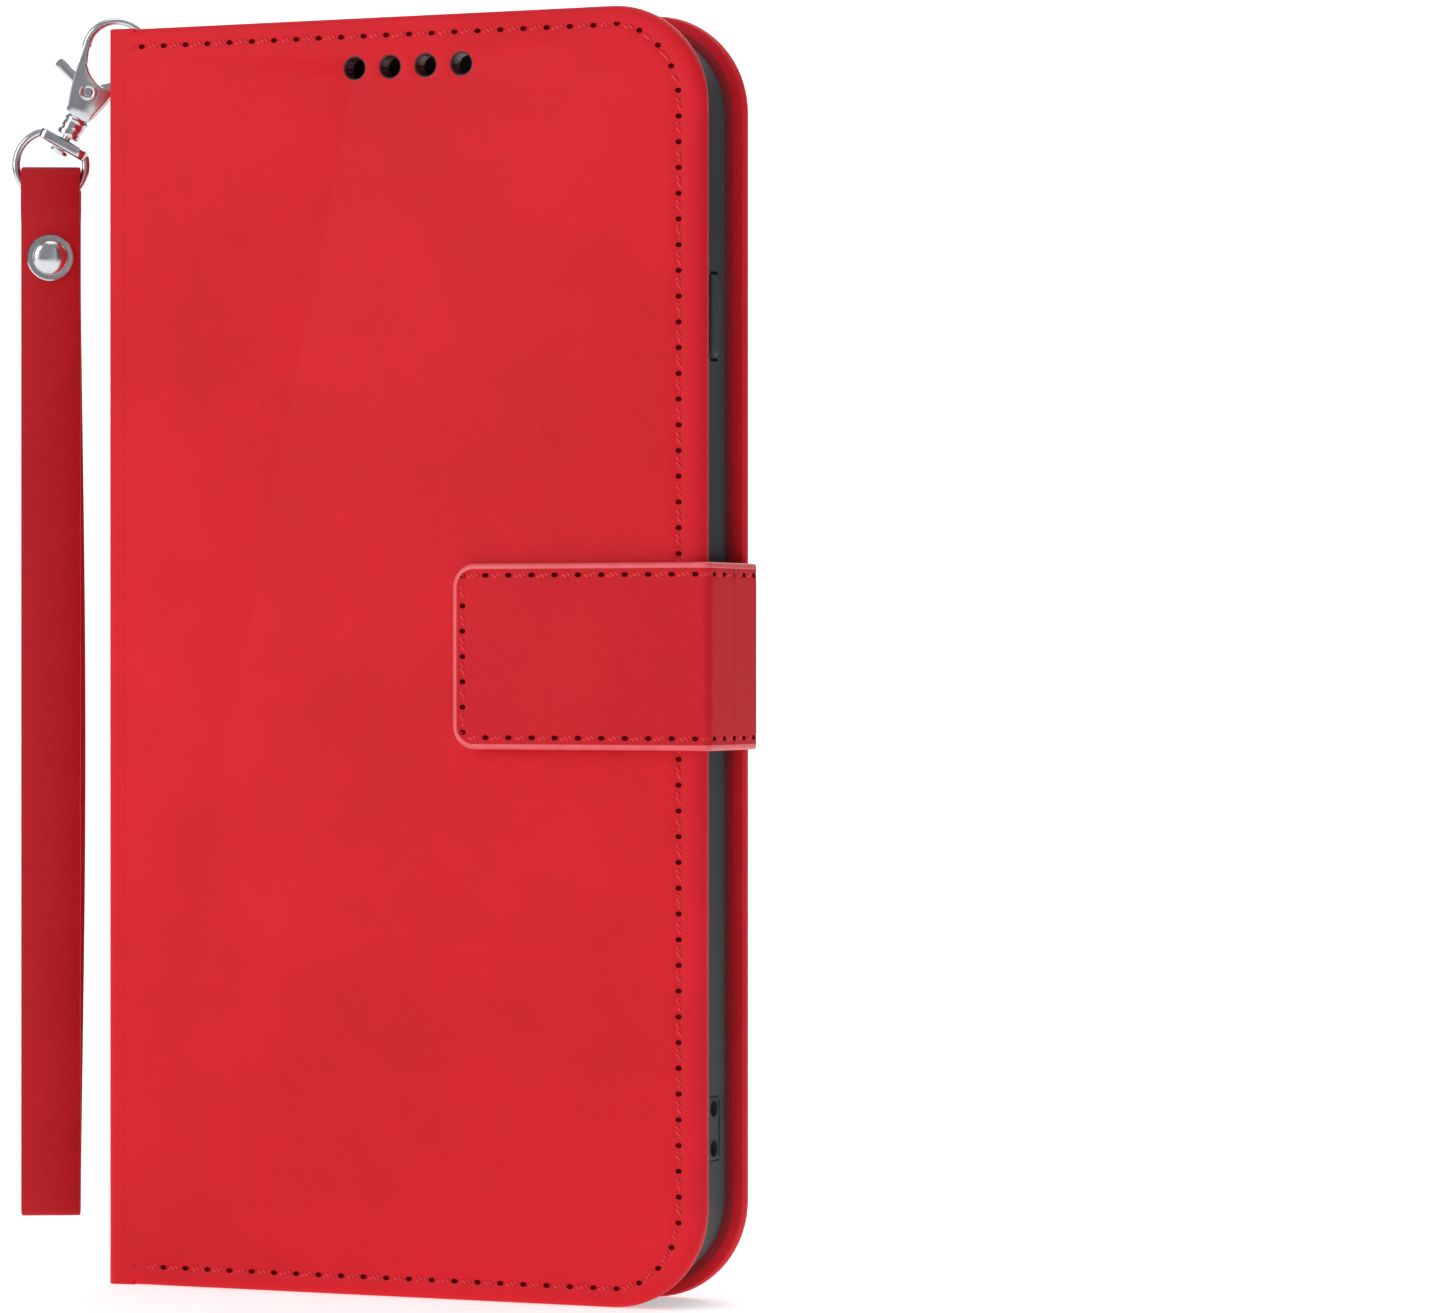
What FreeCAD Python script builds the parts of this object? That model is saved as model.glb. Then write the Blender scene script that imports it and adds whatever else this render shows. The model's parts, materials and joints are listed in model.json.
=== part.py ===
import FreeCAD, Part
import Sketcher
import math
import os

from FreeCAD import Placement, Rotation, Vector

# A flip case for a phone, closed and standing on its lower edge. The front cover faces -Y, the spine is
# on the -X side and the covers open on the +X side. The origin is the middle of the back cover's lower edge.

doc = FreeCAD.newDocument("PhoneWalletCase")
sizes = doc.addObject("Spreadsheet::Sheet", "Sizes")

SIZES = {
    # covers and spine
    "leaf_thickness": 2.2,
    "skin_wall": 0.8,
    "board_wall": 0.8,
    "edge_turn": 1.4,
    "board_gap": 0.1,
    "cover_corner": 12.0,
    "crease_clearance": 0.2,
    "kick_from_camera": 2.3,
    "kick_crease_width": 1.2,
    # phone, the shell that holds it and the room round the shell
    "phone_width": 71.5,
    "phone_height": 146.7,
    "phone_depth": 7.65,
    "shell_wall": 1.2,
    "shell_floor": 0.8,
    "shell_lip": 0.4,
    "lip_reach": 1.0,
    "shell_corner": 10.5,
    "shell_edge_gap": 1.8,
    "shell_spine_gap": 1.1,
    "shell_end_gap": 1.95,
    "shell_lid_gap": 0.95,
    "pad_thickness": 0.2,
    "pad_inset": 6.0,
    "port_width": 12.0,
    "port_depth": 4.6,
    # camera opening
    "camera_width": 32.0,
    "camera_corner": 8.5,
    "camera_side_margin": 6.8,
    "camera_top_margin": 5.2,
    # buttons and lanyard anchor in the shell's walls
    "button_width": 2.6,
    "button_slot": 0.3,
    "button_travel": 0.4,
    "button_proud": 0.5,
    "power_length": 10.0,
    "power_drop": 36.4,
    "volume_length": 9.0,
    "volume_up_drop": 28.0,
    "volume_down_drop": 40.0,
    "lanyard_length": 7.7,
    "lanyard_width": 3.4,
    "lanyard_height": 20.85,
    "lanyard_pitch": 4.7,
    "lanyard_hole_radius": 1.05,
    # pockets on the inside of the front cover
    "pocket_wall": 0.22,
    "pocket_inset": 4.0,
    "upper_pocket_drop": 53.0,
    "lower_pocket_drop": 77.0,
    "card_pocket_inset": 2.0,
    # speaker holes through the front cover
    "speaker_radius": 1.25,
    "speaker_pitch": 4.7,
    "speaker_top_margin": 6.1,
    # closing strap and its magnet
    "strap_height": 22.0,
    "strap_wall": 1.0,
    "strap_ply": 0.9,
    "strap_length": 31.7,
    "strap_corner": 2.8,
    "strap_clearance": 0.2,
    "strap_edge_gap": 0.6,
    "strap_tail_length": 15.0,
    "strap_tail_gap": 0.2,
    "magnet_radius": 5.5,
    "magnet_depth": 0.7,
    "magnet_gap": 0.1,
    "magnet_from_end": 10.0,
    # loop on the spine, clasp, swivel ring and wrist strap
    "loop_drop": 1.7,
    "loop_radius": 1.25,
    "loop_wire": 0.28,
    "loop_sunk": 0.05,
    "loop_behind_crease": -0.3,
    "hook_radius": 3.8,
    "hook_wire": 0.45,
    "hook_from_axis": -3.9,
    "clasp_turn": 25.5,
    "clasp_tilt": 30.0,
    "clasp_depth": 2.6,
    "clasp_slot": 1.1,
    "clasp_base": 9.6,
    "lever_thickness": 0.9,
    "lever_pivot": 6.2,
    "pin_radius": 0.55,
    "pin_gap": 0.04,
    "collar_radius": 1.55,
    "collar_length": 2.6,
    "stud_radius": 0.6,
    "stud_gap": 0.05,
    "ring_radius": 4.3,
    "ring_wire": 0.5,
    "ring_drop": 16.3,
    "boss_rise": 3.0,
    "boss_height": 1.3,
    "boss_depth": 2.8,
    "wrist_width": 7.3,
    "wrist_ply": 0.9,
    "wrist_ring_gap": 0.24,
    "wrist_floor_gap": 7.1,
    "wrist_rivet_drop": 11.3,
    "wrist_bow": 10.0,
    "rivet_radius": 2.9,
    "rivet_dome": 1.3,
    "rivet_post": 0.9,
}
for row, (word, number) in enumerate(SIZES.items(), start=1):
    sizes.set(f"A{row}", word)
    sizes.set(f"B{row}", str(number))
    sizes.setAlias(f"B{row}", word)
doc.recompute()


# the case's own sizes follow from the phone, the shell's walls and the gaps round them
DERIVED = {
    "crease_gap": "(<leaf_thickness> / 2 + <crease_clearance>)",
    "case_width": (
        "(<phone_width> + 2 * <shell_wall> + <shell_edge_gap> + <shell_spine_gap> + <leaf_thickness>)"
    ),
    "case_height": "(<phone_height> + 2 * <shell_wall> + 2 * <shell_end_gap>)",
    "leaf_spacing": (
        "(<leaf_thickness> + <pad_thickness> + <shell_floor> + <phone_depth> + <shell_lip> + <shell_lid_gap>)"
    ),
}


def size(word):
    """The value that the sheet holds for one alias."""
    return float(sizes.get(word))


def expr(text):
    """Turns <word> in an expression into the sheet's cell of that alias, or into a derived size."""
    for word, rule in DERIVED.items():
        text = text.replace(f"<{word}>", rule)
    for word in SIZES:
        text = text.replace(f"<{word}>", f"Sizes.{word}")
    return text


pieces = []


def keep(obj, label):
    """Names an object as one sub-part of the case."""
    obj.Label = label
    pieces.append(obj)
    return obj


# ---------------------------------------------------------------- places that the pieces share

EDGE_X = "(<case_width> / 2)"
HINGE_X = "(<leaf_thickness> / 2 - <case_width> / 2)"
PANEL_X = f"({HINGE_X} + <crease_gap>)"
HALF_LEAF = "(<leaf_thickness> / 2)"
FRONT_Y = "(0 - <leaf_spacing>)"
LINING_WALL = "(<leaf_thickness> - <skin_wall> - <board_wall>)"
SHELL_BACK = f"(0 - {HALF_LEAF} - <pad_thickness>)"
SHELL_FRONT = f"({SHELL_BACK} - <shell_floor> - <phone_depth> - <shell_lip>)"
SHELL_RIGHT = f"({EDGE_X} - <shell_edge_gap>)"
SHELL_LEFT = f"({SHELL_RIGHT} - <phone_width> - 2 * <shell_wall>)"
SHELL_LOW = "((<case_height> - <phone_height>) / 2 - <shell_wall>)"
SHELL_HIGH = "((<case_height> + <phone_height>) / 2 + <shell_wall>)"
PHONE_MIDDLE_X = f"(({SHELL_LEFT} + {SHELL_RIGHT}) / 2)"
PHONE_MIDDLE_Y = f"({SHELL_BACK} - <shell_floor> - <phone_depth> / 2)"
CAMERA_RIGHT = f"({EDGE_X} - <camera_side_margin>)"
CAMERA_LEFT = f"({CAMERA_RIGHT} - <camera_width>)"
CAMERA_HIGH = "(<case_height> - <camera_top_margin>)"
CAMERA_LOW = f"({CAMERA_HIGH} - <camera_width>)"
STRAP_LOW = "(<case_height> / 2 - <strap_height> / 2)"
STRAP_HIGH = "(<case_height> / 2 + <strap_height> / 2)"
STRAP_AXIS_X = f"({EDGE_X} + <strap_edge_gap> + <strap_wall> / 2)"
TAIL_Y = f"({LINING_WALL} / 2 - {HALF_LEAF})"
TAB_BACK = f"({FRONT_Y} - {HALF_LEAF} - <strap_clearance>)"
TAB_MIDDLE = f"({TAB_BACK} - <strap_ply>)"
TAB_FRONT = f"({TAB_MIDDLE} - <strap_ply>)"
TAB_RIGHT = f"({STRAP_AXIS_X} - <strap_ply> - 0.5 * <strap_clearance>)"
TAB_LEFT = f"({TAB_RIGHT} - <strap_length>)"
MAGNET_X = f"({TAB_LEFT} + <magnet_from_end>)"


# ---------------------------------------------------------------- ways of making a piece

def role_plane(body, role):
    """One of the body's own origin planes."""
    return [f for f in body.Origin.OriginFeatures if f.Role == role][0]


def outline(body, name, left, right, low, high, depth_y, radius="0", corners=()):
    """A rectangle in the XZ plane at one depth, its sides and corner radii bound to expressions.

    Corners 0 to 3 are the low left, low right, high right and high left ones.
    """
    sketch = body.newObject("Sketcher::SketchObject", name)
    sketch.AttachmentSupport = [(role_plane(body, "XZ_Plane"), "")]
    sketch.MapMode = "FlatFace"
    sketch.setExpression("AttachmentOffset.Base.z", expr(f"0 - ({depth_y})"))
    x_low, x_high, z_low, z_high = number(left), number(right), number(low), number(high)
    round_r = number(radius)
    points = [(x_low, z_low), (x_high, z_low), (x_high, z_high), (x_low, z_high)]
    along = [(1, 0), (0, 1), (-1, 0), (0, -1)]
    lines, arcs = [], {}
    for side in range(4):
        ahead = (side + 1) % 4
        start_cut = round_r if side in corners else 0.0
        end_cut = round_r if ahead in corners else 0.0
        (sx, sz), (ex, ez), (dx, dz) = points[side], points[ahead], along[side]
        start = Vector(sx + dx * start_cut, sz + dz * start_cut, 0)
        end = Vector(ex - dx * end_cut, ez - dz * end_cut, 0)
        lines.append(sketch.addGeometry(Part.LineSegment(start, end), False))
    for corner in corners:
        (px, pz), (dx, dz) = points[corner], along[corner]
        centre = Vector(px + (dx - dz) * round_r, pz + (dz + dx) * round_r, 0)
        turn = math.radians(90 * corner)
        circle = Part.Circle(centre, Vector(0, 0, 1), round_r)
        arc = Part.ArcOfCircle(circle, turn + math.pi, turn + 1.5 * math.pi)
        arcs[corner] = sketch.addGeometry(arc, False)
    for side in range(4):
        before = (side - 1) % 4
        if side in arcs:
            sketch.addConstraint(Sketcher.Constraint("Tangent", lines[before], 2, arcs[side], 1))
            sketch.addConstraint(Sketcher.Constraint("Tangent", arcs[side], 2, lines[side], 1))
            index = sketch.addConstraint(Sketcher.Constraint("Radius", arcs[side], round_r))
            sketch.setExpression(f"Constraints[{index}]", expr(radius))
        else:
            sketch.addConstraint(Sketcher.Constraint("Coincident", lines[before], 2, lines[side], 1))
        way = "Horizontal" if side % 2 == 0 else "Vertical"
        sketch.addConstraint(Sketcher.Constraint(way, lines[side]))
    for way, side, place, text in (
        ("DistanceX", 3, x_low, left),
        ("DistanceX", 1, x_high, right),
        ("DistanceY", 0, z_low, low),
        ("DistanceY", 2, z_high, high),
    ):
        if abs(place) < 1e-9:
            axis = -2 if way == "DistanceX" else -1
            sketch.addConstraint(Sketcher.Constraint("PointOnObject", lines[side], 1, axis))
            continue
        index = sketch.addConstraint(Sketcher.Constraint(way, -1, 1, lines[side], 1, place))
        sketch.setExpression(f"Constraints[{index}]", expr(text))
    return sketch


def panel(name, left, right, near, far, low, high, radius="0", corners=()):
    """A plate between two X, two Y and two Z places, as a body with one pad."""
    body = doc.addObject("PartDesign::Body", name)
    sketch = outline(body, f"{name}_outline", left, right, low, high, far, radius, corners)
    pad = body.newObject("PartDesign::Pad", f"{name}_pad")
    pad.Profile = sketch
    pad.setExpression("Length", expr(f"({far}) - ({near})"))
    doc.recompute()
    return body


def pocket(body, name, left, right, near, far, low, high, radius="0", corners=()):
    """Cuts a pocket from the near plane to the far plane of a body."""
    before = body.Shape.Volume
    sketch = outline(body, name, left, right, low, high, near, radius, corners)
    cut = body.newObject("PartDesign::Pocket", f"{name}_pocket")
    cut.Profile = sketch
    cut.setExpression("Length", expr(f"({far}) - ({near})"))
    doc.recompute()
    if not body.Shape.Volume < before:
        raise ValueError(f"{name} cuts nothing")
    return body


def number(text):
    """The present value, in millimetres, of an expression over the sheet's aliases."""
    return float(sizes.evalExpression(expr(text)))


def block(name, left, right, near, far, low, high):
    """A plain box between two X, two Y and two Z places."""
    box = doc.addObject("Part::Box", name)
    box.setExpression("Length", expr(f"({right}) - ({left})"))
    box.setExpression("Width", expr(f"({far}) - ({near})"))
    box.setExpression("Height", expr(f"({high}) - ({low})"))
    box.setExpression("Placement.Base.x", expr(left))
    box.setExpression("Placement.Base.y", expr(near))
    box.setExpression("Placement.Base.z", expr(low))
    return box


def rod(name, radius, length, place, turn):
    """A cylinder whose base centre is at three expressions, its axis turned from +Z by a rotation."""
    bar = doc.addObject("Part::Cylinder", name)
    bar.Placement = Placement(Vector(0, 0, 0), turn)
    bar.setExpression("Radius", expr(radius))
    bar.setExpression("Height", expr(length))
    for axis, text in zip("xyz", place):
        bar.setExpression(f"Placement.Base.{axis}", expr(text))
    return bar


def joined(name, solids):
    fuse = doc.addObject("Part::MultiFuse", name)
    fuse.Shapes = solids
    fuse.Refine = True
    return fuse


def without(name, base, tools):
    """A solid with one or more tools cut from it."""
    cut = doc.addObject("Part::Cut", name)
    cut.Base = base
    cut.Tool = tools[0] if len(tools) == 1 else joined(f"{name}_tools", tools)
    return cut


ALONG_X = Rotation(Vector(0, 1, 0), 90)
ALONG_Y = Rotation(Vector(1, 0, 0), -90)
UPRIGHT = Rotation()


# ---------------------------------------------------------------- covers: skin, board, lining

OPENING_SIDE = (1, 2)
ALL_ROUND = (0, 1, 2, 3)


def cover_panel(name, near, far, left, right, inset, corner):
    """One layer of a cover, inset from the cover's outline, with its two opening-side corners round."""
    return panel(name, left, right, near, far, inset, f"<case_height> - {inset}", corner, OPENING_SIDE)


def camera_cut(body):
    """Cuts the camera opening, with its round corners, through one layer of the back cover."""
    return pocket(
        body, f"{body.Name}_camera", CAMERA_LEFT, CAMERA_RIGHT, f"{SHELL_BACK} - 3", f"{HALF_LEAF} + 1",
        CAMERA_LOW, CAMERA_HIGH, "<camera_corner>", ALL_ROUND,
    )


INSIDE = "<edge_turn>"
BOARD_IN = "(<edge_turn> + <board_gap>)"
BACK_INNER = f"(0 - {HALF_LEAF})"
BACK_BOARD = f"({BACK_INNER} + {LINING_WALL})"
BACK_SKIN = f"({BACK_BOARD} + <board_wall>)"

back_skin = cover_panel("back_skin", BACK_INNER, HALF_LEAF, PANEL_X, EDGE_X, "0", "<cover_corner>")
pocket(
    back_skin, "back_skin_tray", f"{PANEL_X} + {INSIDE}", f"{EDGE_X} - {INSIDE}",
    BACK_INNER, BACK_SKIN, INSIDE, f"<case_height> - {INSIDE}", f"<cover_corner> - {INSIDE}", OPENING_SIDE,
)
pocket(
    back_skin, "back_skin_strap_notch", f"{EDGE_X} - {INSIDE} - 1", f"{EDGE_X} + 1",
    f"{BACK_INNER} - 1", BACK_BOARD, STRAP_LOW, STRAP_HIGH,
)
camera_cut(back_skin)
keep(back_skin, "back_skin")

KICK_X = f"({CAMERA_LEFT} - <kick_from_camera>)"
board_left = panel(
    "back_board_spine_half", f"{PANEL_X} + {BOARD_IN}", f"{KICK_X} - <kick_crease_width> / 2",
    BACK_BOARD, BACK_SKIN, BOARD_IN, f"<case_height> - {BOARD_IN}",
)
keep(board_left, "back_board_spine_half")
board_right = cover_panel(
    "back_board_camera_half", BACK_BOARD, BACK_SKIN, f"{KICK_X} + <kick_crease_width> / 2",
    f"{EDGE_X} - {BOARD_IN}", BOARD_IN, f"<cover_corner> - {BOARD_IN}",
)
camera_cut(board_right)
keep(board_right, "back_board_camera_half")

TAIL_LEFT = f"({EDGE_X} - <strap_tail_length>)"
back_lining = cover_panel(
    "back_lining", BACK_INNER, BACK_BOARD, f"{PANEL_X} + {INSIDE}", f"{EDGE_X} - {INSIDE}",
    INSIDE, f"<cover_corner> - {INSIDE}",
)
camera_cut(back_lining)
pocket(
    back_lining, "back_lining_strap_window", TAIL_LEFT, f"{EDGE_X}", f"{BACK_INNER} - 1",
    f"{BACK_BOARD} + 1", STRAP_LOW, STRAP_HIGH,
)
keep(back_lining, "back_lining")

FRONT_OUTER = f"({FRONT_Y} - {HALF_LEAF})"
FRONT_BOARD = f"({FRONT_OUTER} + <skin_wall>)"
FRONT_LINING = f"({FRONT_BOARD} + <board_wall>)"
FRONT_INNER = f"({FRONT_Y} + {HALF_LEAF})"

front_skin = cover_panel("front_skin_sheet", FRONT_OUTER, FRONT_INNER, PANEL_X, EDGE_X, "0", "<cover_corner>")
# the tray is open towards the inside of the case, so its cut starts from the skin's inner face
pocket(
    front_skin, "front_skin_tray", f"{PANEL_X} + {INSIDE}", f"{EDGE_X} - {INSIDE}",
    FRONT_BOARD, f"{FRONT_INNER} + 1", INSIDE, f"<case_height> - {INSIDE}",
    f"<cover_corner> - {INSIDE}", OPENING_SIDE,
)
front_board = cover_panel(
    "front_board_sheet", FRONT_BOARD, FRONT_LINING, f"{PANEL_X} + {BOARD_IN}", f"{EDGE_X} - {BOARD_IN}",
    BOARD_IN, f"<cover_corner> - {BOARD_IN}",
)
front_lining = cover_panel(
    "front_lining_sheet", FRONT_LINING, FRONT_INNER, f"{PANEL_X} + {INSIDE}", f"{EDGE_X} - {INSIDE}",
    INSIDE, f"<cover_corner> - {INSIDE}",
)


def speaker_drills(name):
    """Four drills in a row across the cover's width, below its top edge."""
    middle = f"(({PANEL_X} + {EDGE_X}) / 2)"
    drills = []
    for index in range(4):
        place = (
            f"{middle} + ({index} - 1.5) * <speaker_pitch>", f"{FRONT_OUTER} - 1",
            "<case_height> - <speaker_top_margin>",
        )
        drill = rod(f"{name}_drill_{index}", "<speaker_radius>", "<leaf_thickness> + 2", place, ALONG_Y)
        drills.append(drill)
    return drills


def magnet_disc(name, radius, near, far):
    """A disc on the axis that the tab's magnet and its catch plate share."""
    place = (MAGNET_X, near, "<case_height> / 2")
    return rod(name, radius, f"({far}) - ({near})", place, ALONG_Y)


keep(without("front_skin_drilled", front_skin, speaker_drills("front_skin")), "front_skin")
catch_hole = magnet_disc(
    "catch_hole", "<magnet_radius> + <magnet_gap>", f"{FRONT_BOARD} - 1", f"{FRONT_LINING} + 1",
)
keep(without("front_board_drilled", front_board, speaker_drills("front_board") + [catch_hole]), "front_board")
keep(magnet_disc("catch_disc", "<magnet_radius>", FRONT_BOARD, FRONT_LINING), "catch_plate")
keep(without("front_lining_drilled", front_lining, speaker_drills("front_lining")), "front_lining")

# ---------------------------------------------------------------- pockets, stacked on the front lining

POCKET_LEFT = f"({PANEL_X} + <pocket_inset>)"
POCKET_RIGHT = f"({EDGE_X} - <pocket_inset>)"
SPEAKER_FREE = "(<case_height> - 2 * <speaker_top_margin>)"
for step, (label, top, inset) in enumerate((
    ("cash_pocket", SPEAKER_FREE, "0"),
    ("card_pocket_upper", "<case_height> - <upper_pocket_drop>", "<card_pocket_inset>"),
    ("card_pocket_lower", "<case_height> - <lower_pocket_drop>", "<card_pocket_inset>"),
)):
    layer = block(
        f"{label}_layer", f"{POCKET_LEFT} + {inset}", f"{POCKET_RIGHT} - {inset}",
        f"{FRONT_INNER} + {step} * <pocket_wall>", f"{FRONT_INNER} + {step + 1} * <pocket_wall>",
        f"<pocket_inset> + {inset}", top,
    )
    keep(layer, label)

# ---------------------------------------------------------------- spine: a plate, with a round crease each end

SPINE_OUT = "(0 - <case_width> / 2)"
SPINE_IN = f"({SPINE_OUT} + <leaf_thickness>)"
spine_solid = joined("spine_solid", [
    block("spine_plate", SPINE_OUT, SPINE_IN, FRONT_Y, "0", "0", "<case_height>"),
    rod("back_crease_roll", HALF_LEAF, "<case_height>", (HINGE_X, "0", "0"), UPRIGHT),
    rod("front_crease_roll", HALF_LEAF, "<case_height>", (HINGE_X, FRONT_Y, "0"), UPRIGHT),
])
SPINE_NEAR = f"({FRONT_Y} + <crease_gap>)"
SPINE_FAR = "(0 - <crease_gap>)"
spine_tray = block(
    "spine_tray", f"{SPINE_OUT} + <skin_wall>", f"{SPINE_IN} + 1", SPINE_NEAR, SPINE_FAR,
    INSIDE, f"<case_height> - {INSIDE}",
)
keep(without("spine_skin_cut", spine_solid, [spine_tray]), "spine_skin")
keep(block(
    "spine_board_plate", f"{SPINE_OUT} + <skin_wall>", f"{SPINE_OUT} + <skin_wall> + <board_wall>",
    f"{SPINE_NEAR} + <board_gap>", f"{SPINE_FAR} - <board_gap>", BOARD_IN, f"<case_height> - {BOARD_IN}",
), "spine_board")
keep(block(
    "spine_lining_plate", f"{SPINE_OUT} + <skin_wall> + <board_wall>", SPINE_IN, SPINE_NEAR, SPINE_FAR,
    INSIDE, f"<case_height> - {INSIDE}",
), "spine_lining")

# ---------------------------------------------------------------- phone shell, stuck to the back cover

shell = panel(
    "shell", SHELL_LEFT, SHELL_RIGHT, SHELL_FRONT, SHELL_BACK, SHELL_LOW, SHELL_HIGH,
    "<shell_corner>", ALL_ROUND,
)


def shell_hollow(name, near, far, inset):
    """Cuts the shell's hollow between two depths, inset from its outline."""
    pocket(
        shell, name, f"{SHELL_LEFT} + {inset}", f"{SHELL_RIGHT} - {inset}", near, far,
        f"{SHELL_LOW} + {inset}", f"{SHELL_HIGH} - {inset}", f"<shell_corner> - {inset}", ALL_ROUND,
    )


shell_hollow("shell_mouth", SHELL_FRONT, f"{SHELL_FRONT} + <shell_lip>", "(<shell_wall> + <lip_reach>)")
shell_hollow("shell_seat", f"{SHELL_FRONT} + <shell_lip>", f"{SHELL_BACK} - <shell_floor>", "<shell_wall>")
camera_cut(shell)


def wall_window(name, side, length, width, height):
    """A window through the shell's right (+1) or left (-1) wall, centred on the phone's thickness."""
    wall_far, wall_near = (SHELL_RIGHT, f"{SHELL_RIGHT} - <shell_wall>")
    if side < 0:
        wall_far, wall_near = (f"{SHELL_LEFT} + <shell_wall>", SHELL_LEFT)
    return block(
        name, f"{wall_near} - 0.3", f"{wall_far} + 0.3",
        f"{PHONE_MIDDLE_Y} - ({width}) / 2", f"{PHONE_MIDDLE_Y} + ({width}) / 2",
        f"({height}) - ({length}) / 2", f"({height}) + ({length}) / 2",
    )


BUTTONS = (
    ("power_button", 1, "<power_length>", "(<case_height> - <power_drop>)"),
    ("volume_up_button", -1, "<volume_length>", "(<case_height> - <volume_up_drop>)"),
    ("volume_down_button", -1, "<volume_length>", "(<case_height> - <volume_down_drop>)"),
)
windows = [
    wall_window(
        f"{name}_slot", side, f"{length} + 2 * <button_slot>", "<button_width> + 2 * <button_slot>", height,
    )
    for name, side, length, height in BUTTONS
]
windows.append(wall_window("lanyard_slot", 1, "<lanyard_length>", "<lanyard_width>", "<lanyard_height>"))
windows.append(block(
    "charging_slot", f"{PHONE_MIDDLE_X} - <port_width> / 2", f"{PHONE_MIDDLE_X} + <port_width> / 2",
    f"{PHONE_MIDDLE_Y} - <port_depth> / 2", f"{PHONE_MIDDLE_Y} + <port_depth> / 2",
    f"{SHELL_LOW} - 1", f"{SHELL_LOW} + <shell_wall> + 0.3",
))
keep(without("phone_shell_cut", shell, windows), "phone_shell")

for name, side, length, height in BUTTONS:
    # the button's inner face stands off the phone by its travel, and its outer face stands proud of the wall
    if side > 0:
        low_x = f"{SHELL_RIGHT} - <shell_wall> + <button_travel>"
        high_x = f"{SHELL_RIGHT} + <button_proud>"
    else:
        low_x = f"{SHELL_LEFT} - <button_proud>"
        high_x = f"{SHELL_LEFT} + <shell_wall> - <button_travel>"
    keep(block(
        f"{name}_cap", low_x, high_x, f"{PHONE_MIDDLE_Y} - <button_width> / 2",
        f"{PHONE_MIDDLE_Y} + <button_width> / 2", f"{height} - {length} / 2", f"{height} + {length} / 2",
    ), name)

anchor = block(
    "lanyard_block", f"{SHELL_RIGHT} - <shell_wall>", SHELL_RIGHT,
    f"{PHONE_MIDDLE_Y} - <lanyard_width> / 2", f"{PHONE_MIDDLE_Y} + <lanyard_width> / 2",
    "<lanyard_height> - <lanyard_length> / 2", "<lanyard_height> + <lanyard_length> / 2",
)
anchor_drills = [
    rod(
        f"lanyard_drill_{index}", "<lanyard_hole_radius>", "<shell_wall> + 2",
        (f"{SHELL_RIGHT} - <shell_wall> - 1", PHONE_MIDDLE_Y, f"<lanyard_height> + {way} * <lanyard_pitch> / 2"),
        ALONG_X,
    )
    for index, way in enumerate((-1, 1))
]
keep(without("lanyard_anchor_drilled", anchor, anchor_drills), "lanyard_anchor")

pad = panel(
    "pad", f"{SHELL_LEFT} + <pad_inset>", f"{SHELL_RIGHT} - <pad_inset>", SHELL_BACK, BACK_INNER,
    f"{SHELL_LOW} + <pad_inset>", f"{CAMERA_LOW} - 2",
)
keep(pad, "adhesive_pad")

# ---------------------------------------------------------------- closing strap: tail, band, tab of two plies

FREE_END = (0, 3)
TAIL_END = f"({STRAP_AXIS_X} - <strap_wall> / 2 - <strap_tail_gap>)"
keep(block(
    "strap_tail_plate", TAIL_LEFT, TAIL_END, BACK_INNER, BACK_BOARD, STRAP_LOW, STRAP_HIGH,
), "strap_tail")
band_rolls = [
    rod(f"band_roll_{index}", "<strap_wall> / 2", "<strap_height>", (STRAP_AXIS_X, place, STRAP_LOW), UPRIGHT)
    for index, place in enumerate((TAIL_Y, TAB_MIDDLE))
]
band_plate = block(
    "band_plate", f"{STRAP_AXIS_X} - <strap_wall> / 2", f"{STRAP_AXIS_X} + <strap_wall> / 2",
    TAB_MIDDLE, TAIL_Y, STRAP_LOW, STRAP_HIGH,
)
keep(joined("strap_band_solid", [band_plate] + band_rolls), "strap_band")

TAB_PLIES = (("strap_tab_outer", TAB_FRONT, TAB_MIDDLE), ("strap_tab_inner", TAB_MIDDLE, TAB_BACK))
for label, near, far in TAB_PLIES:
    ply = panel(
        f"{label}_ply", TAB_LEFT, TAB_RIGHT, near, far, STRAP_LOW, STRAP_HIGH, "<strap_corner>", FREE_END,
    )
    if label == "strap_tab_outer":
        keep(ply, label)
        continue
    seat = magnet_disc(
        "magnet_seat", "<magnet_radius> + <magnet_gap>", f"{TAB_MIDDLE} - 1", f"{TAB_MIDDLE} + <magnet_depth>",
    )
    keep(without("strap_tab_inner_cut", ply, [seat]), label)
magnet = magnet_disc("magnet_disc", "<magnet_radius>", TAB_MIDDLE, f"{TAB_MIDDLE} + <magnet_depth>")
keep(magnet, "strap_magnet")

# ---------------------------------------------------------------- clasp: loop, hook, lever, stud, ring

loop_x = number(f"{SPINE_OUT} - <loop_radius> - <loop_wire> + <loop_sunk>")
loop_centre = Vector(loop_x, size("loop_behind_crease"), number("<case_height> - <loop_drop>"))
loop = doc.addObject("Part::Torus", "loop_ring")
loop.setExpression("Radius1", expr("<loop_radius>"))
loop.setExpression("Radius2", expr("<loop_wire>"))
loop.Placement = Placement(loop_centre, UPRIGHT)
keep(loop, "clasp_loop")

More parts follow.
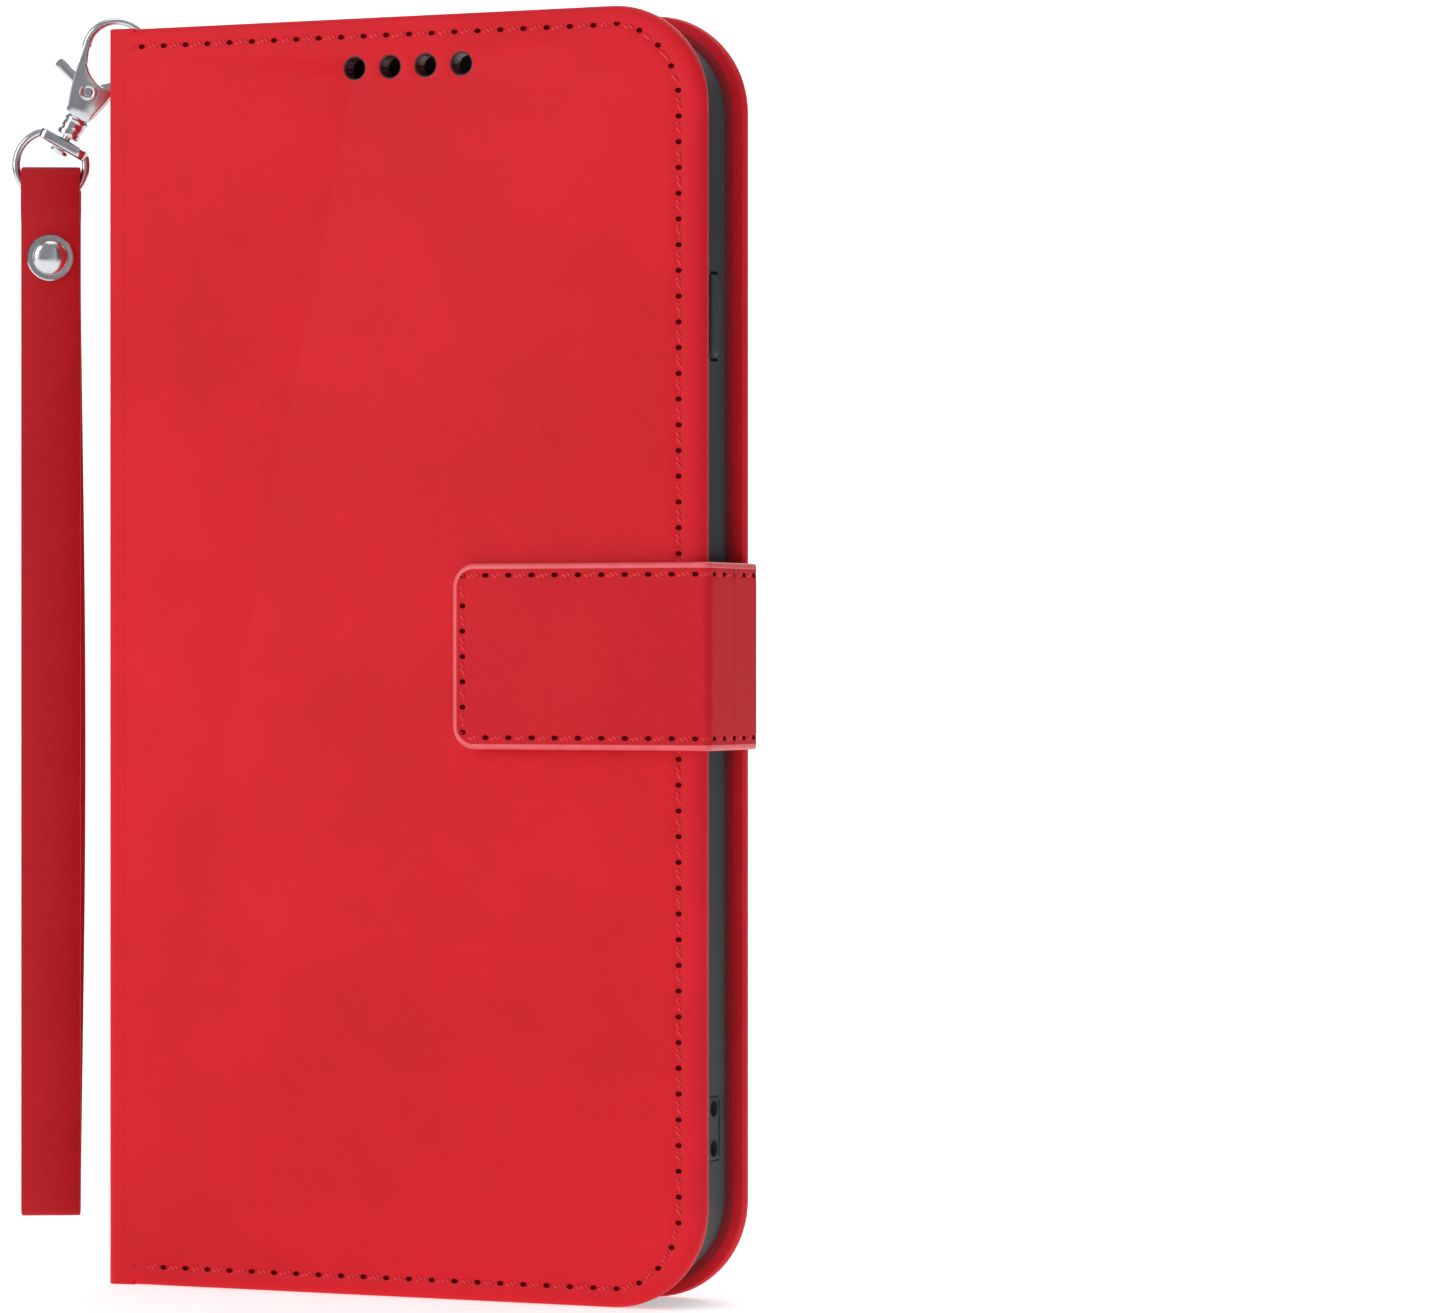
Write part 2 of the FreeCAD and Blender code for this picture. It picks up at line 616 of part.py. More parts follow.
# the clasp hangs in an upright plane turned about Z; the hook's bend is centred a hook radius from the loop
facing = Rotation(Vector(0, 0, 1), size("clasp_turn"))
angle = math.radians(size("hook_from_axis"))
reach = Vector(size("hook_radius") * math.cos(angle), 0, size("hook_radius") * math.sin(angle))
hook_centre = loop_centre - facing.multVec(reach)
tilted = Rotation(Vector(0, 1, 0), size("clasp_tilt"))
CLASP = Placement(hook_centre, facing.multiply(tilted))
HANGING = Placement(hook_centre, facing)


def placed(shape, where, label):
    """Keeps a shape made in the clasp's own frame as one sub-part, put in its place."""
    feature = doc.addObject("Part::Feature", f"{label}_solid")
    feature.Shape = shape
    feature.Placement = where
    return keep(feature, label)


def ring_arc(radius, wire, start, sweep):
    """Part of a round ring in the XZ plane, from a start angle through a sweep, both in degrees."""
    arc = Part.makeTorus(radius, wire, Vector(0, 0, 0), Vector(0, 0, 1), 0, 360, sweep)
    arc.rotate(Vector(0, 0, 0), Vector(0, 0, 1), start)
    arc.rotate(Vector(0, 0, 0), Vector(1, 0, 0), 90)
    return arc


def plate(points, depth):
    """An upright plate with a given outline in the XZ plane, centred on Y = 0."""
    corners = [Vector(x, -depth / 2, z) for x, z in points]
    face = Part.Face(Part.makePolygon(corners + corners[:1]))
    return face.extrude(Vector(0, depth, 0))


def cross_rod(radius, x, z, near, far):
    """A rod along Y at one X and Z."""
    return Part.makeCylinder(radius, far - near, Vector(x, near, z), Vector(0, 1, 0))


hook_r, hook_w, base_z = size("hook_radius"), size("hook_wire"), -size("clasp_base")
pivot_z = -size("lever_pivot")
pivot_x = -0.45
HOOK_START, HOOK_SWEEP = -18, 218
cheek = [
    (-hook_r - 0.15, -0.9), (-3.2, -3.9), (-2.6, -6.7), (-1.75, base_z), (1.45, base_z),
    (2.2, -4.75), (0.1, -4.75), (-1.6, -4.1), (-2.7, -2.6), (-hook_r + 0.3, -0.9),
]
depth = size("clasp_depth")
clasp = ring_arc(hook_r, hook_w, HOOK_START, HOOK_SWEEP)
neck = cheek[:2] + cheek[8:]
clasp = clasp.fuse(plate(neck, 2 * hook_w)).fuse(plate(cheek[1:9], depth))
SLOT_TOP, SLOT_FLOOR, SLOT_REACH = -4.5, 1.0, 5
slot = Part.makeBox(2 * SLOT_REACH, size("clasp_slot"), SLOT_TOP - base_z - SLOT_FLOOR)
slot.translate(Vector(-SLOT_REACH, -size("clasp_slot") / 2, base_z + SLOT_FLOOR))
pin_r = size("pin_radius")
clasp = clasp.cut(slot).cut(cross_rod(pin_r, pivot_x, pivot_z, -depth, depth))
placed(clasp.removeSplitter(), CLASP, "clasp_body")

lever_t = size("lever_thickness")
arm = [(-1.1, -6.9), (0.3, -7.0), (3.35, -2.5), (2.85, -2.05), (-0.2, -5.0), (-1.0, -5.3)]
thumb = [(-0.6, -5.3), (-5.6, -4.0), (-6.0, -5.3), (-0.6, -6.7)]
lever = plate(arm, lever_t).fuse(plate(thumb, lever_t))
LEVER_HUB = 1.1
lever = lever.fuse(cross_rod(LEVER_HUB, pivot_x, pivot_z, -lever_t / 2, lever_t / 2))
lever = lever.cut(cross_rod(pin_r + size("pin_gap"), pivot_x, pivot_z, -depth, depth))
placed(lever.removeSplitter(), CLASP, "clasp_lever")

head = 0.35
pin = cross_rod(pin_r, pivot_x, pivot_z, -depth / 2 - head, depth / 2 + head)
for near in (-depth / 2 - head, depth / 2):
    pin = pin.fuse(cross_rod(2 * pin_r, pivot_x, pivot_z, near, near + head))
placed(pin.removeSplitter(), CLASP, "lever_rivet")

# the lever's return spring: a short coil that sits in the slot behind the pivot
COIL_RADIUS, COIL_WIRE, COIL_X, COIL_RISE = 0.4, 0.13, -0.1, 1.65
coil = Part.makeTorus(COIL_RADIUS, COIL_WIRE, Vector(COIL_X, 0, base_z + COIL_RISE), Vector(0, 1, 0))
placed(coil, CLASP, "lever_spring")

boss_z = size("boss_rise") - size("ring_drop")
boss_low, boss_high = boss_z - size("boss_height") / 2, boss_z + size("boss_height") / 2
stud_r, stud_gap = size("stud_radius"), size("stud_gap")
collar_low = base_z - size("collar_length")
head_high = boss_low - 2 * stud_gap
stud = Part.makeCylinder(size("collar_radius"), size("collar_length"), Vector(0, 0, collar_low))
HEAD_HEIGHT = 0.65
shank_low = head_high - HEAD_HEIGHT / 2
stud = stud.fuse(Part.makeCylinder(stud_r, collar_low - shank_low, Vector(0, 0, shank_low)))
stud = stud.fuse(Part.makeCylinder(2 * stud_r, HEAD_HEIGHT, Vector(0, 0, head_high - HEAD_HEIGHT)))
placed(stud.removeSplitter(), CLASP, "swivel_stud")

ring_r, ring_w = size("ring_radius"), size("ring_wire")
side = math.degrees(math.asin(size("boss_rise") / ring_r))
ring = ring_arc(ring_r, ring_w, 180 - side, 180 + 2 * side)
ring.translate(Vector(0, 0, -size("ring_drop")))
BOSS_LAP = 0.25
half = ring_r * math.cos(math.radians(side)) + BOSS_LAP
boss = Part.makeBox(2 * half, size("boss_depth"), size("boss_height"))
boss.translate(Vector(-half, -size("boss_depth") / 2, boss_low))
ring = ring.fuse(boss)
bore_low = boss_low - size("boss_height")
bore = Part.makeCylinder(stud_r + stud_gap, 3 * size("boss_height"), Vector(0, 0, bore_low))
placed(ring.cut(bore).removeSplitter(), CLASP, "swivel_ring")

# ---------------------------------------------------------------- wrist strap, hanging from the ring

ring_centre = tilted.multVec(Vector(0, 0, -size("ring_drop")))
ply, half_wide = size("wrist_ply"), size("wrist_width") / 2
inner = ring_w + size("wrist_ring_gap")
outer = inner + ply
# the wire slopes where it leaves the fold at the strap's edges, so the fold is lifted to clear its slant
edge_drop = math.sqrt(ring_r ** 2 - half_wide ** 2)
fold_z = ring_centre.z - edge_drop + ring_w * (ring_r / edge_drop - 1)
top_z = fold_z + outer
end_z = size("wrist_floor_gap") - hook_centre.z
rivet_z = top_z - size("wrist_rivet_drop")
open_z = ring_centre.z - ring_r - inner
PINCH_DROP, RIVET_MARGIN = 3, 0.4
pinch_z = open_z - PINCH_DROP
grip_z = rivet_z - size("rivet_radius") - RIVET_MARGIN
bow = size("wrist_bow")
middle_z = (grip_z + end_z) / 2


def at(y, z):
    return Vector(ring_centre.x - half_wide, y, z)


def closed(edges):
    return Part.Face(Part.Wire([e.toShape() for e in edges])).extrude(Vector(2 * half_wide, 0, 0))


strap = closed([
    Part.LineSegment(at(-outer, open_z), at(-outer, fold_z)),
    Part.Arc(at(-outer, fold_z), at(0, top_z), at(outer, fold_z)),
    Part.LineSegment(at(outer, fold_z), at(outer, open_z)),
    Part.LineSegment(at(outer, open_z), at(ply, pinch_z)),
    Part.LineSegment(at(ply, pinch_z), at(ply, grip_z)),
    Part.Arc(at(ply, grip_z), at(bow, middle_z), at(ply, end_z + ply)),
    Part.Arc(at(ply, end_z + ply), at(0, end_z), at(-ply, end_z + ply)),
    Part.LineSegment(at(-ply, end_z + ply), at(-ply, pinch_z)),
    Part.LineSegment(at(-ply, pinch_z), at(-outer, open_z)),
])
eye = closed([
    Part.LineSegment(at(-inner, open_z), at(-inner, fold_z)),
    Part.Arc(at(-inner, fold_z), at(0, fold_z + inner), at(inner, fold_z)),
    Part.LineSegment(at(inner, fold_z), at(inner, open_z)),
    Part.LineSegment(at(inner, open_z), at(0, pinch_z)),
    Part.LineSegment(at(0, pinch_z), at(-inner, open_z)),
])
hand_low, hand_high = end_z + 2 * ply, grip_z - 2 * ply
hand = closed([
    Part.Arc(at(0, hand_high), at(bow - ply, middle_z), at(0, hand_low)),
    Part.LineSegment(at(0, hand_low), at(0, hand_high)),
])
post_r = size("rivet_post")
post_hole = cross_rod(post_r, ring_centre.x, rivet_z, -2 * ply, 2 * ply)
placed(strap.cut(eye).cut(hand).cut(post_hole), HANGING, "wrist_strap")

rivet_r, dome = size("rivet_radius"), size("rivet_dome")
ball = (rivet_r ** 2 + dome ** 2) / (2 * dome)
rivet = cross_rod(post_r, ring_centre.x, rivet_z, -ply, ply)
for way in (-1, 1):
    cap = Part.makeSphere(ball, Vector(ring_centre.x, way * (ply + dome - ball), rivet_z))
    near = ply if way > 0 else -ply - dome
    keeper = cross_rod(rivet_r, ring_centre.x, rivet_z, near, near + dome)
    rivet = rivet.fuse(cap.common(keeper))
placed(rivet.removeSplitter(), HANGING, "wrist_rivet")

# ---------------------------------------------------------------- check and write

doc.recompute()
for obj in doc.Objects:
    if {"Invalid", "Error"} & set(obj.State):
        raise ValueError(f"{obj.Name} failed: {obj.State}")
os.makedirs("parts", exist_ok=True)
for piece in pieces:
    if piece.Shape.isNull() or not piece.Shape.isValid() or not piece.Shape.Solids:
        raise ValueError(f"{piece.Label} has no sound shape")
    piece.Shape.exportStep(f"parts/{piece.Label}.step")
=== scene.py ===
import json
import math

import bmesh
import bpy
from mathutils import Matrix, Vector


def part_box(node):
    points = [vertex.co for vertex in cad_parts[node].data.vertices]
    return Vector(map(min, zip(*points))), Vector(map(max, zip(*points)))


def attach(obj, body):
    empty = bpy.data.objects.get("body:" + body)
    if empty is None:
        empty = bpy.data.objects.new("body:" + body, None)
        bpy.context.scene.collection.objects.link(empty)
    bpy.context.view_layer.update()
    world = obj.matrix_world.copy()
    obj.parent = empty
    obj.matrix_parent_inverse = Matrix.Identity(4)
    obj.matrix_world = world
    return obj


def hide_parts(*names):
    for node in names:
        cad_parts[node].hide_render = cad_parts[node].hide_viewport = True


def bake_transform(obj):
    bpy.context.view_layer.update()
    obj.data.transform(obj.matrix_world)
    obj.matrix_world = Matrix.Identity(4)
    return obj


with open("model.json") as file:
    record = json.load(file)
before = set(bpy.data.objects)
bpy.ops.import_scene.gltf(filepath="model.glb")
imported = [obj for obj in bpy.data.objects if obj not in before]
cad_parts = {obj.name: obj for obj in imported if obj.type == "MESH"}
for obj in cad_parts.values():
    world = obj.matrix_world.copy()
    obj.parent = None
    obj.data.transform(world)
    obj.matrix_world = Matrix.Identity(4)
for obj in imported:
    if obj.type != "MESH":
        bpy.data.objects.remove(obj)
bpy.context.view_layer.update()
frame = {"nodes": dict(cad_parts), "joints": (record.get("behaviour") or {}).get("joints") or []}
joints = {joint["name"]: joint for joint in frame["joints"]}
mm = 0.001

# ---------------------------------------------------------------- room, lights and camera
# The case stands on a pale sweep of paper that curves up behind it. Two large soft lights stand
# in front, one each side, and a third hangs overhead.

scene = bpy.context.scene
scene.view_settings.view_transform = "Standard"

sweep_wide, sweep_near, sweep_far, sweep_tall, sweep_bend = 3.0, -1.6, 1.1, 2.2, 0.5
sweep_steps = 16
sweep_line = [(sweep_near, 0.0), (sweep_far - sweep_bend, 0.0)]
for step in range(1, sweep_steps):
    turn = math.radians(90 * step / sweep_steps)
    sweep_line.append((
        sweep_far - sweep_bend + sweep_bend * math.sin(turn), sweep_bend - sweep_bend * math.cos(turn),
    ))
sweep_line.append((sweep_far, sweep_tall))
sweep_points = [(side * sweep_wide / 2, y, z) for y, z in sweep_line for side in (-1, 1)]
sweep_faces = [(2 * k, 2 * k + 1, 2 * k + 3, 2 * k + 2) for k in range(len(sweep_line) - 1)]
paper = bpy.data.objects.new("paper_sweep", bpy.data.meshes.new("paper_sweep"))
paper.data.from_pydata(sweep_points, [], sweep_faces)
paper.data.shade_smooth()
scene.collection.objects.link(paper)


def plain_finish(name, **values):
    """A material for the room, from values for its shader's inputs."""
    finish = bpy.data.materials.new(name)
    finish.use_nodes = True
    for key, value in values.items():
        finish.node_tree.nodes["Principled BSDF"].inputs[key.replace("_", " ")].default_value = value
    return finish


paper.data.materials.append(plain_finish(
    "white_paper", Base_Color=(0.9, 0.9, 0.9, 1), Roughness=0.9, Emission_Color=(1, 1, 1, 1),
    Emission_Strength=0.45,
))


def soft_light(name, place, target, width, height, watts):
    lamp = bpy.data.lights.new(name, "AREA")
    lamp.shape, lamp.size, lamp.size_y, lamp.energy = "RECTANGLE", width, height, watts
    holder = bpy.data.objects.new(name, lamp)
    holder.location = place
    holder.rotation_euler = (Vector(target) - Vector(place)).to_track_quat("-Z", "Y").to_euler()
    scene.collection.objects.link(holder)


middle = Vector((0, -6 * mm, 76 * mm))
soft_light("left_front_light", (-0.9, -1.1, 0.7), middle, 0.8, 1.2, 9.0)
soft_light("right_front_light", (1.1, -1.0, 0.5), middle, 0.7, 1.2, 1.6)
soft_light("top_light", (0.1, -0.1, 1.5), middle, 1.2, 1.2, 6)
soft_light("rear_light", (0.2, 0.75, 0.9), (0, 0.2, 0.2), 1.4, 0.5, 3)

# dark cards beside the lights, so that the plated metal has something dark to mirror
card_finish = plain_finish("dark_card", Base_Color=(0.012, 0.012, 0.013, 1))
for card_name, card_place, card_wide, card_tall in (
    ("left_card", (-0.75, -0.25, 0.3), 0.35, 1.0), ("right_card", (0.62, -0.55, 0.25), 0.3, 0.9),
    ("low_card", (0.1, -1.2, 0.1), 0.9, 0.14), ("side_card", (0.42, 0.55, 0.2), 0.6, 0.8),
):
    card_mesh = bpy.data.meshes.new(card_name)
    card_mesh.from_pydata([
        (side * card_wide / 2, rise * card_tall / 2, 0) for side, rise in ((-1, -1), (1, -1), (1, 1), (-1, 1))
    ], [], [(0, 1, 2, 3)])
    card_mesh.materials.append(card_finish)
    card = bpy.data.objects.new(card_name, card_mesh)
    card.location = card_place
    card.rotation_euler = (middle - Vector(card_place)).to_track_quat("Z", "Y").to_euler()
    scene.collection.objects.link(card)
    card.visible_camera = False

world = bpy.data.worlds.new("pale_room")
scene.world = world
world.use_nodes = True
background = world.node_tree.nodes["Background"].inputs
background["Color"].default_value, background["Strength"].default_value = (0.93, 0.95, 1.0, 1), 0.38

view_turn, aim_turn, view_distance, view_lens = math.radians(25.5), math.radians(2.755), 0.683, 141.0
view_height = 76.5 * mm
back = Vector((math.sin(view_turn), -math.cos(view_turn), 0))
camera = bpy.data.objects.new("camera", bpy.data.cameras.new("camera"))
camera.data.lens, camera.data.sensor_width = view_lens, 36.0
camera.data.clip_start, camera.data.clip_end = 0.05, 20
camera.location = Vector((0, 0, view_height)) + back * view_distance
look = Matrix.Rotation(-aim_turn, 3, "Z") @ (-back)
camera.rotation_euler = look.to_track_quat("-Z", "Y").to_euler()
scene.collection.objects.link(camera)
scene.camera = camera

# ---------------------------------------------------------------- red cover leather
# The covers are a coated, brushed leather: matt red with soft cloudy mottling, a fine pebble grain
# and small pores. The coating turns a little paler where the skin is pulled round an edge; the
# material here leaves that out.


class Link:
    """A node's output, used in sums and products as if it were a number."""

    def __init__(self, tree, socket=None):
        self.tree, self.socket = tree, socket

    def add(self, kind, settings=None, output=0, **inputs):
        """Adds a node, sets its settings, then its sockets, and returns one of its outputs."""
        node = self.tree.nodes.new(kind)
        for key, value in (settings or {}).items():
            setattr(node, key, value)
        for key, value in inputs.items():
            socket = node.inputs[int(key[1:])] if key[1:].isdigit() else node.inputs[key.replace("_", " ")]
            self.put(socket, value)
        return Link(self.tree, node.outputs[output])

    def put(self, socket, value):
        if isinstance(value, Link):
            self.tree.links.new(value.socket, socket)
        else:
            socket.default_value = (*value, 1) if socket.type == "RGBA" else value

    def sum_of(self, operation, first, second):
        return self.add("ShaderNodeMath", {"operation": operation}, i0=first, i1=second)

    def __add__(self, other):
        return self.sum_of("ADD", self, other)

    def __sub__(self, other):
        return self.sum_of("SUBTRACT", self, other)

    def __rsub__(self, other):
        return self.sum_of("SUBTRACT", other, self)

    def __mul__(self, other):
        return self.sum_of("MULTIPLY", self, other)

    __radd__, __rmul__ = __add__, __mul__

    def mixed(self, low, high):
        """A colour between two, by this value."""
        return self.add("ShaderNodeMix", {"data_type": "RGBA"}, output=2, i0=self, i6=low, i7=high)

    def noise(self, scale, detail=2.0, roughness=0.5):
        """Cloudy noise at these coordinates."""
        return self.add("ShaderNodeTexNoise", Vector=self, Scale=scale, Detail=detail, Roughness=roughness)

    def bump(self, strength, distance):
        """Relief that has this value as its height."""
        return self.add("ShaderNodeBump", Strength=strength, Distance=distance, Height=self)


def new_finish(name, roughness, metallic=0.0):
    """A material, its shader and the piece's own coordinates to build the rest from."""
    finish = bpy.data.materials.new(name)
    finish.use_nodes = True
    shader = finish.node_tree.nodes["Principled BSDF"]
    shader.inputs["Roughness"].default_value = roughness
    shader.inputs["Metallic"].default_value = metallic
    return finish, shader, Link(finish.node_tree).add("ShaderNodeTexCoord", output=3)


def surface(shader, colour, relief=None, roughness=None):
    """Joins a shader to its colour and, where they vary, to its relief and roughness."""
    for key, value in (("Base Color", colour), ("Normal", relief), ("Roughness", roughness)):
        if value is not None:
            value.put(shader.inputs[key], value)


def leather(name, deep, pale, roughness, grain=1.0):
    """Coated leather: cloudy colour, pebble grain, pores and a slightly uneven sheen."""
    finish, shader, where = new_finish(name, roughness)
    shader.inputs["Specular IOR Level"].default_value = 0.16
    shader.inputs["Sheen Weight"].default_value = 0.01
    shader.inputs["Sheen Roughness"].default_value = 0.5
    clouds, mottle, pores = where.noise(42.0, 4.0, 0.55), where.noise(230.0, 3.0, 0.6), where.noise(3800.0)
    pebble = where.add("ShaderNodeTexVoronoi", Vector=where, Scale=1500.0)
    tone = where.add("ShaderNodeClamp", Value=(clouds * 1.5 - 0.25) * 0.7 + mottle * 0.3)
    height = pebble * (0.7 * grain) + pores * 0.35 + mottle * 0.5
    surface(shader, tone.mixed(deep, pale), height.bump(0.22, 0.00012), roughness - 0.06 + mottle * 0.12)
    return finish


cover_leather = leather("cover_leather", (0.55, 0.007, 0.014), (0.78, 0.014, 0.027), 0.52)


def flat_outline(left, right, low, high, radii, weights=(1, 1, 1, 1), steps=12):
    """Points round a rectangle in X and Z at a given inset, with each side's share of that inset.

    radii are those of the low left, low right, high right and high left corners; weights are the
    left, right, low and high sides' shares.
    """
    def at(inset):
        x_low, x_high = left + inset * weights[0], right - inset * weights[1]
        z_low, z_high = low + inset * weights[2], high - inset * weights[3]
        points, least_round = [], 0.05 * mm
        corners = (x_low, z_low), (x_high, z_low), (x_high, z_high), (x_low, z_high)
        for corner, (px, pz) in enumerate(corners):
            across = weights[0] if px == x_low else weights[1]
            along = weights[2] if pz == z_low else weights[3]
            wide = max(radii[corner] - inset * across, least_round)
            tall = max(radii[corner] - inset * along, least_round)
            centre_x = px + (wide if px == x_low else -wide)
            centre_z = pz + (tall if pz == z_low else -tall)
            for step in range(steps + 1):
                turn = math.pi + (corner + step / steps) * math.pi / 2
                points.append((centre_x + wide * math.cos(turn), centre_z + tall * math.sin(turn)))
        return points
    return at


def ring_faces(bm, first, second, slot=0):
    """Quads between two closed rings of points."""
    for k in range(len(first)):
        j = (k + 1) % len(first)
        bm.faces.new((first[k], first[j], second[j], second[k])).material_index = slot


def as_piece(bm, name, finishes, body=None, crease=35, where=None):
    """Turns a mesh under construction into a piece with its materials."""
    bmesh.ops.recalc_face_normals(bm, faces=bm.faces)
    mesh = bpy.data.meshes.new(name)
    if where is not None:
        bm.transform(where)
    bm.to_mesh(mesh)
    bm.free()
    mesh.shade_smooth()
    mesh.set_sharp_from_angle(angle=math.radians(crease))
    for finish in finishes:
        mesh.materials.append(finish)
    piece = bpy.data.objects.new(name, mesh)
    scene.collection.objects.link(piece)
    if body:
        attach(piece, body)
    return piece


def sheet_mesh(shape, profile, holes=(), hole_profile=(), rim=(0, 0)):
    """A flat piece: rings of shape(inset) stacked along profile, (inset, y) pairs, and closed at both ends.

    Rings between the two numbers in rim take the second material, and walls of holes the third.
    """
    bm = bmesh.new()
    loops = [[bm.verts.new((x, y, z)) for x, z in shape(inset)] for inset, y in profile]
    for index, (first, second) in enumerate(zip(loops, loops[1:])):
        ring_faces(bm, first, second, 1 if rim[0] <= index < rim[1] else 0)
    walls = []
    for hole in holes:
        wall = [[bm.verts.new((x, y, z)) for x, z in hole(inset)] for inset, y in hole_profile]
        for first, second in zip(wall, wall[1:]):
            ring_faces(bm, first, second, 2)
        walls.append(wall)
    for end in (0, -1):
        edges = []
        for loop in [loops[end]] + [wall[end] for wall in walls]:
            edges += [bm.edges.get((vert, loop[(k + 1) % len(loop)])) for k, vert in enumerate(loop)]
        bmesh.ops.triangle_fill(bm, use_beauty=True, use_dissolve=False, edges=edges)
    return bm


# ---------------------------------------------------------------- dark painted edges
# Where the leather and board are cut through, at the camera opening and the speaker holes, the raw
# edge is sealed with a dark red-brown paint.

dark_edge, dark_edge_shader, where = new_finish("dark_edge_paint", 0.45)
speckle = where.noise(900.0)
surface(
    dark_edge_shader, speckle.mixed((0.03, 0.004, 0.005), (0.085, 0.008, 0.01)), speckle.bump(0.2, 0.00008),
)

# ---------------------------------------------------------------- front cover skin
# One sheet of leather over a stiff board, its edges turned in and pressed round. A pressed line
# runs under the stitches along the top, the opening side and the bottom, and four small round
# holes let the sound of the phone's earpiece out.

front_low, front_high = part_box("front_skin")
corner_round = 12.0 * mm
cover_radii = (0.8 * mm, corner_round, corner_round, 0.8 * mm)
cover_weights, cover_steps = (0.05, 1.4, 1, 1), 20
front_shape = flat_outline(
    front_low.x, front_high.x, front_low.z, front_high.z, cover_radii, cover_weights, cover_steps,
)
stitch_inset = 2.3 * mm
lining_reveal = 0.05 * mm


def stepped(base, way, steps):
    """(inset or radius, place) pairs, from millimetres, each place counted from base."""
    return [(inset * mm, base + way * far * mm) for inset, far in steps]


def cover_profile(inner, outer):
    """(inset, y) pairs from a cover's inner face round its pressed edge to its outer face."""
    way, line = 1 if outer > inner else -1, stitch_inset / mm
    return stepped(inner + way * lining_reveal, way, [
        (1.30, 0), (0.60, 0.03), (0.22, 0.20), (0.02, 0.60), (0.0, 1.05),
    ]) + stepped(outer, -way, [
        (0.08, 0.55), (0.28, 0.28), (0.62, 0.09), (1.05, 0.01), (1.60, 0), (1.95, 0.05),
        (line - 0.1, 0.15), (line + 0.1, 0.15), (2.65, 0.05), (3.05, 0), (3.60, 0),
    ])


def round_hole(x, z, radius, sides=28):
    def at(inset):
        reach, turns = radius + inset, [2 * math.pi * k / sides for k in range(sides)]
        return [(x + reach * math.cos(turn), z + reach * math.sin(turn)) for turn in turns]
    return at


def hole_rings(inner, outer, soft=0.25 * mm):
    """A hole's wall, with its mouth pressed slightly round at the outer face."""
    way = 1 if outer > inner else -1
    flush = inner + way * lining_reveal
    return [(0.0, flush), (0.0, outer - way * soft), (0.3 * soft, outer - way * 0.3 * soft), (soft, outer)]


speaker_pitch, speaker_radius, speaker_drop = 4.7 * mm, 1.25 * mm, 6.1 * mm
speaker_middle = (front_low.x + front_high.x) / 2
speakers = [
    round_hole(speaker_middle + (k - 1.5) * speaker_pitch, front_high.z - speaker_drop, speaker_radius)
    for k in range(4)
]
front_skin = as_piece(
    sheet_mesh(
        front_shape, cover_profile(front_high.y, front_low.y), speakers,
        hole_rings(front_high.y, front_low.y),
    ),
    "front_cover_skin", [cover_leather, cover_leather, dark_edge], "front_cover",
)
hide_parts("front_skin")

# ---------------------------------------------------------------- back cover skin
# The same leather over two boards. The camera opening is cut right through near the top of the
# opening side, and a shallow upright crease beside it marks where the back folds as a kickstand;
# here it is only pressed into the skin, which stays one piece and does not fold.

back_low, back_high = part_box("back_skin")
back_shape = flat_outline(
    back_low.x, back_high.x, back_low.z, back_high.z, cover_radii, cover_weights, cover_steps,
)
opening_wide, opening_side, opening_top, opening_round = 32.0 * mm, 6.8 * mm, 5.2 * mm, 8.5 * mm
opening_right, opening_high = back_high.x - opening_side, back_high.z - opening_top


def opening_outline(inset):
    return flat_outline(
        opening_right - opening_wide - inset, opening_right + inset, opening_high - opening_wide - inset,
        opening_high + inset, (opening_round + inset,) * 4, steps=12,
    )(0)


back_mesh = sheet_mesh(
    back_shape, cover_profile(back_low.y, back_high.y), [opening_outline],
    hole_rings(back_low.y, back_high.y),
)
crease_x, crease_half, crease_depth = opening_right - opening_wide - 2.3 * mm, 2.2 * mm, 0.32 * mm
crease_cuts, outer_layer = 6, 0.3 * mm
for step in range(-crease_cuts, crease_cuts + 1):
    bmesh.ops.bisect_plane(
        back_mesh, geom=back_mesh.verts[:] + back_mesh.edges[:] + back_mesh.faces[:],
        plane_co=(crease_x + step * crease_half / crease_cuts, 0, 0), plane_no=(1, 0, 0), dist=1e-7,
    )
for vert in back_mesh.verts:
    off = (vert.co.x - crease_x) / crease_half
    if abs(off) < 1 and vert.co.y > back_high.y - outer_layer:
        vert.co.y -= crease_depth * (0.5 + 0.5 * math.cos(math.pi * off))
back_skin = as_piece(
    back_mesh, "back_cover_skin", [cover_leather, cover_leather, dark_edge], "root",
)
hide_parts("back_skin")

# ---------------------------------------------------------------- cover stitching
# Waxed thread in a slightly paler red, sewn by machine at a three-millimetre pitch. Each stitch
# dips at a slant into a needle hole, and each hole is a dark disc of painted shade between the stitches.

thread, thread_shader, where = new_finish("red_thread", 0.6)
thread_shader.inputs["Specular IOR Level"].default_value = 0.15
# The twist sets the thread's relief and also darkens its colour in the grooves between plies, as painted
# shade.
twist_relief_and_groove_shade = where.add(
    "ShaderNodeTexWave", {"bands_direction": "DIAGONAL"}, Vector=where, Scale=900.0, Distortion=1.0,
)
surface(thread_shader, twist_relief_and_groove_shade.mixed((0.52, 0.012, 0.02), (0.88, 0.045, 0.06)), twist_relief_and_groove_shade.bump(0.5, 0.0001))

# Painted shade: the dark colour of the needle holes stands for the shadow inside them.
needle_hole, needle_hole_shade_shader, where = new_finish("needle_hole", 0.9)
needle_hole_shade_shader.inputs["Specular IOR Level"].default_value = 0.0
surface(needle_hole_shade_shader, where.noise(1500.0).mixed((0.035, 0.0005, 0.001), (0.11, 0.001, 0.003)))


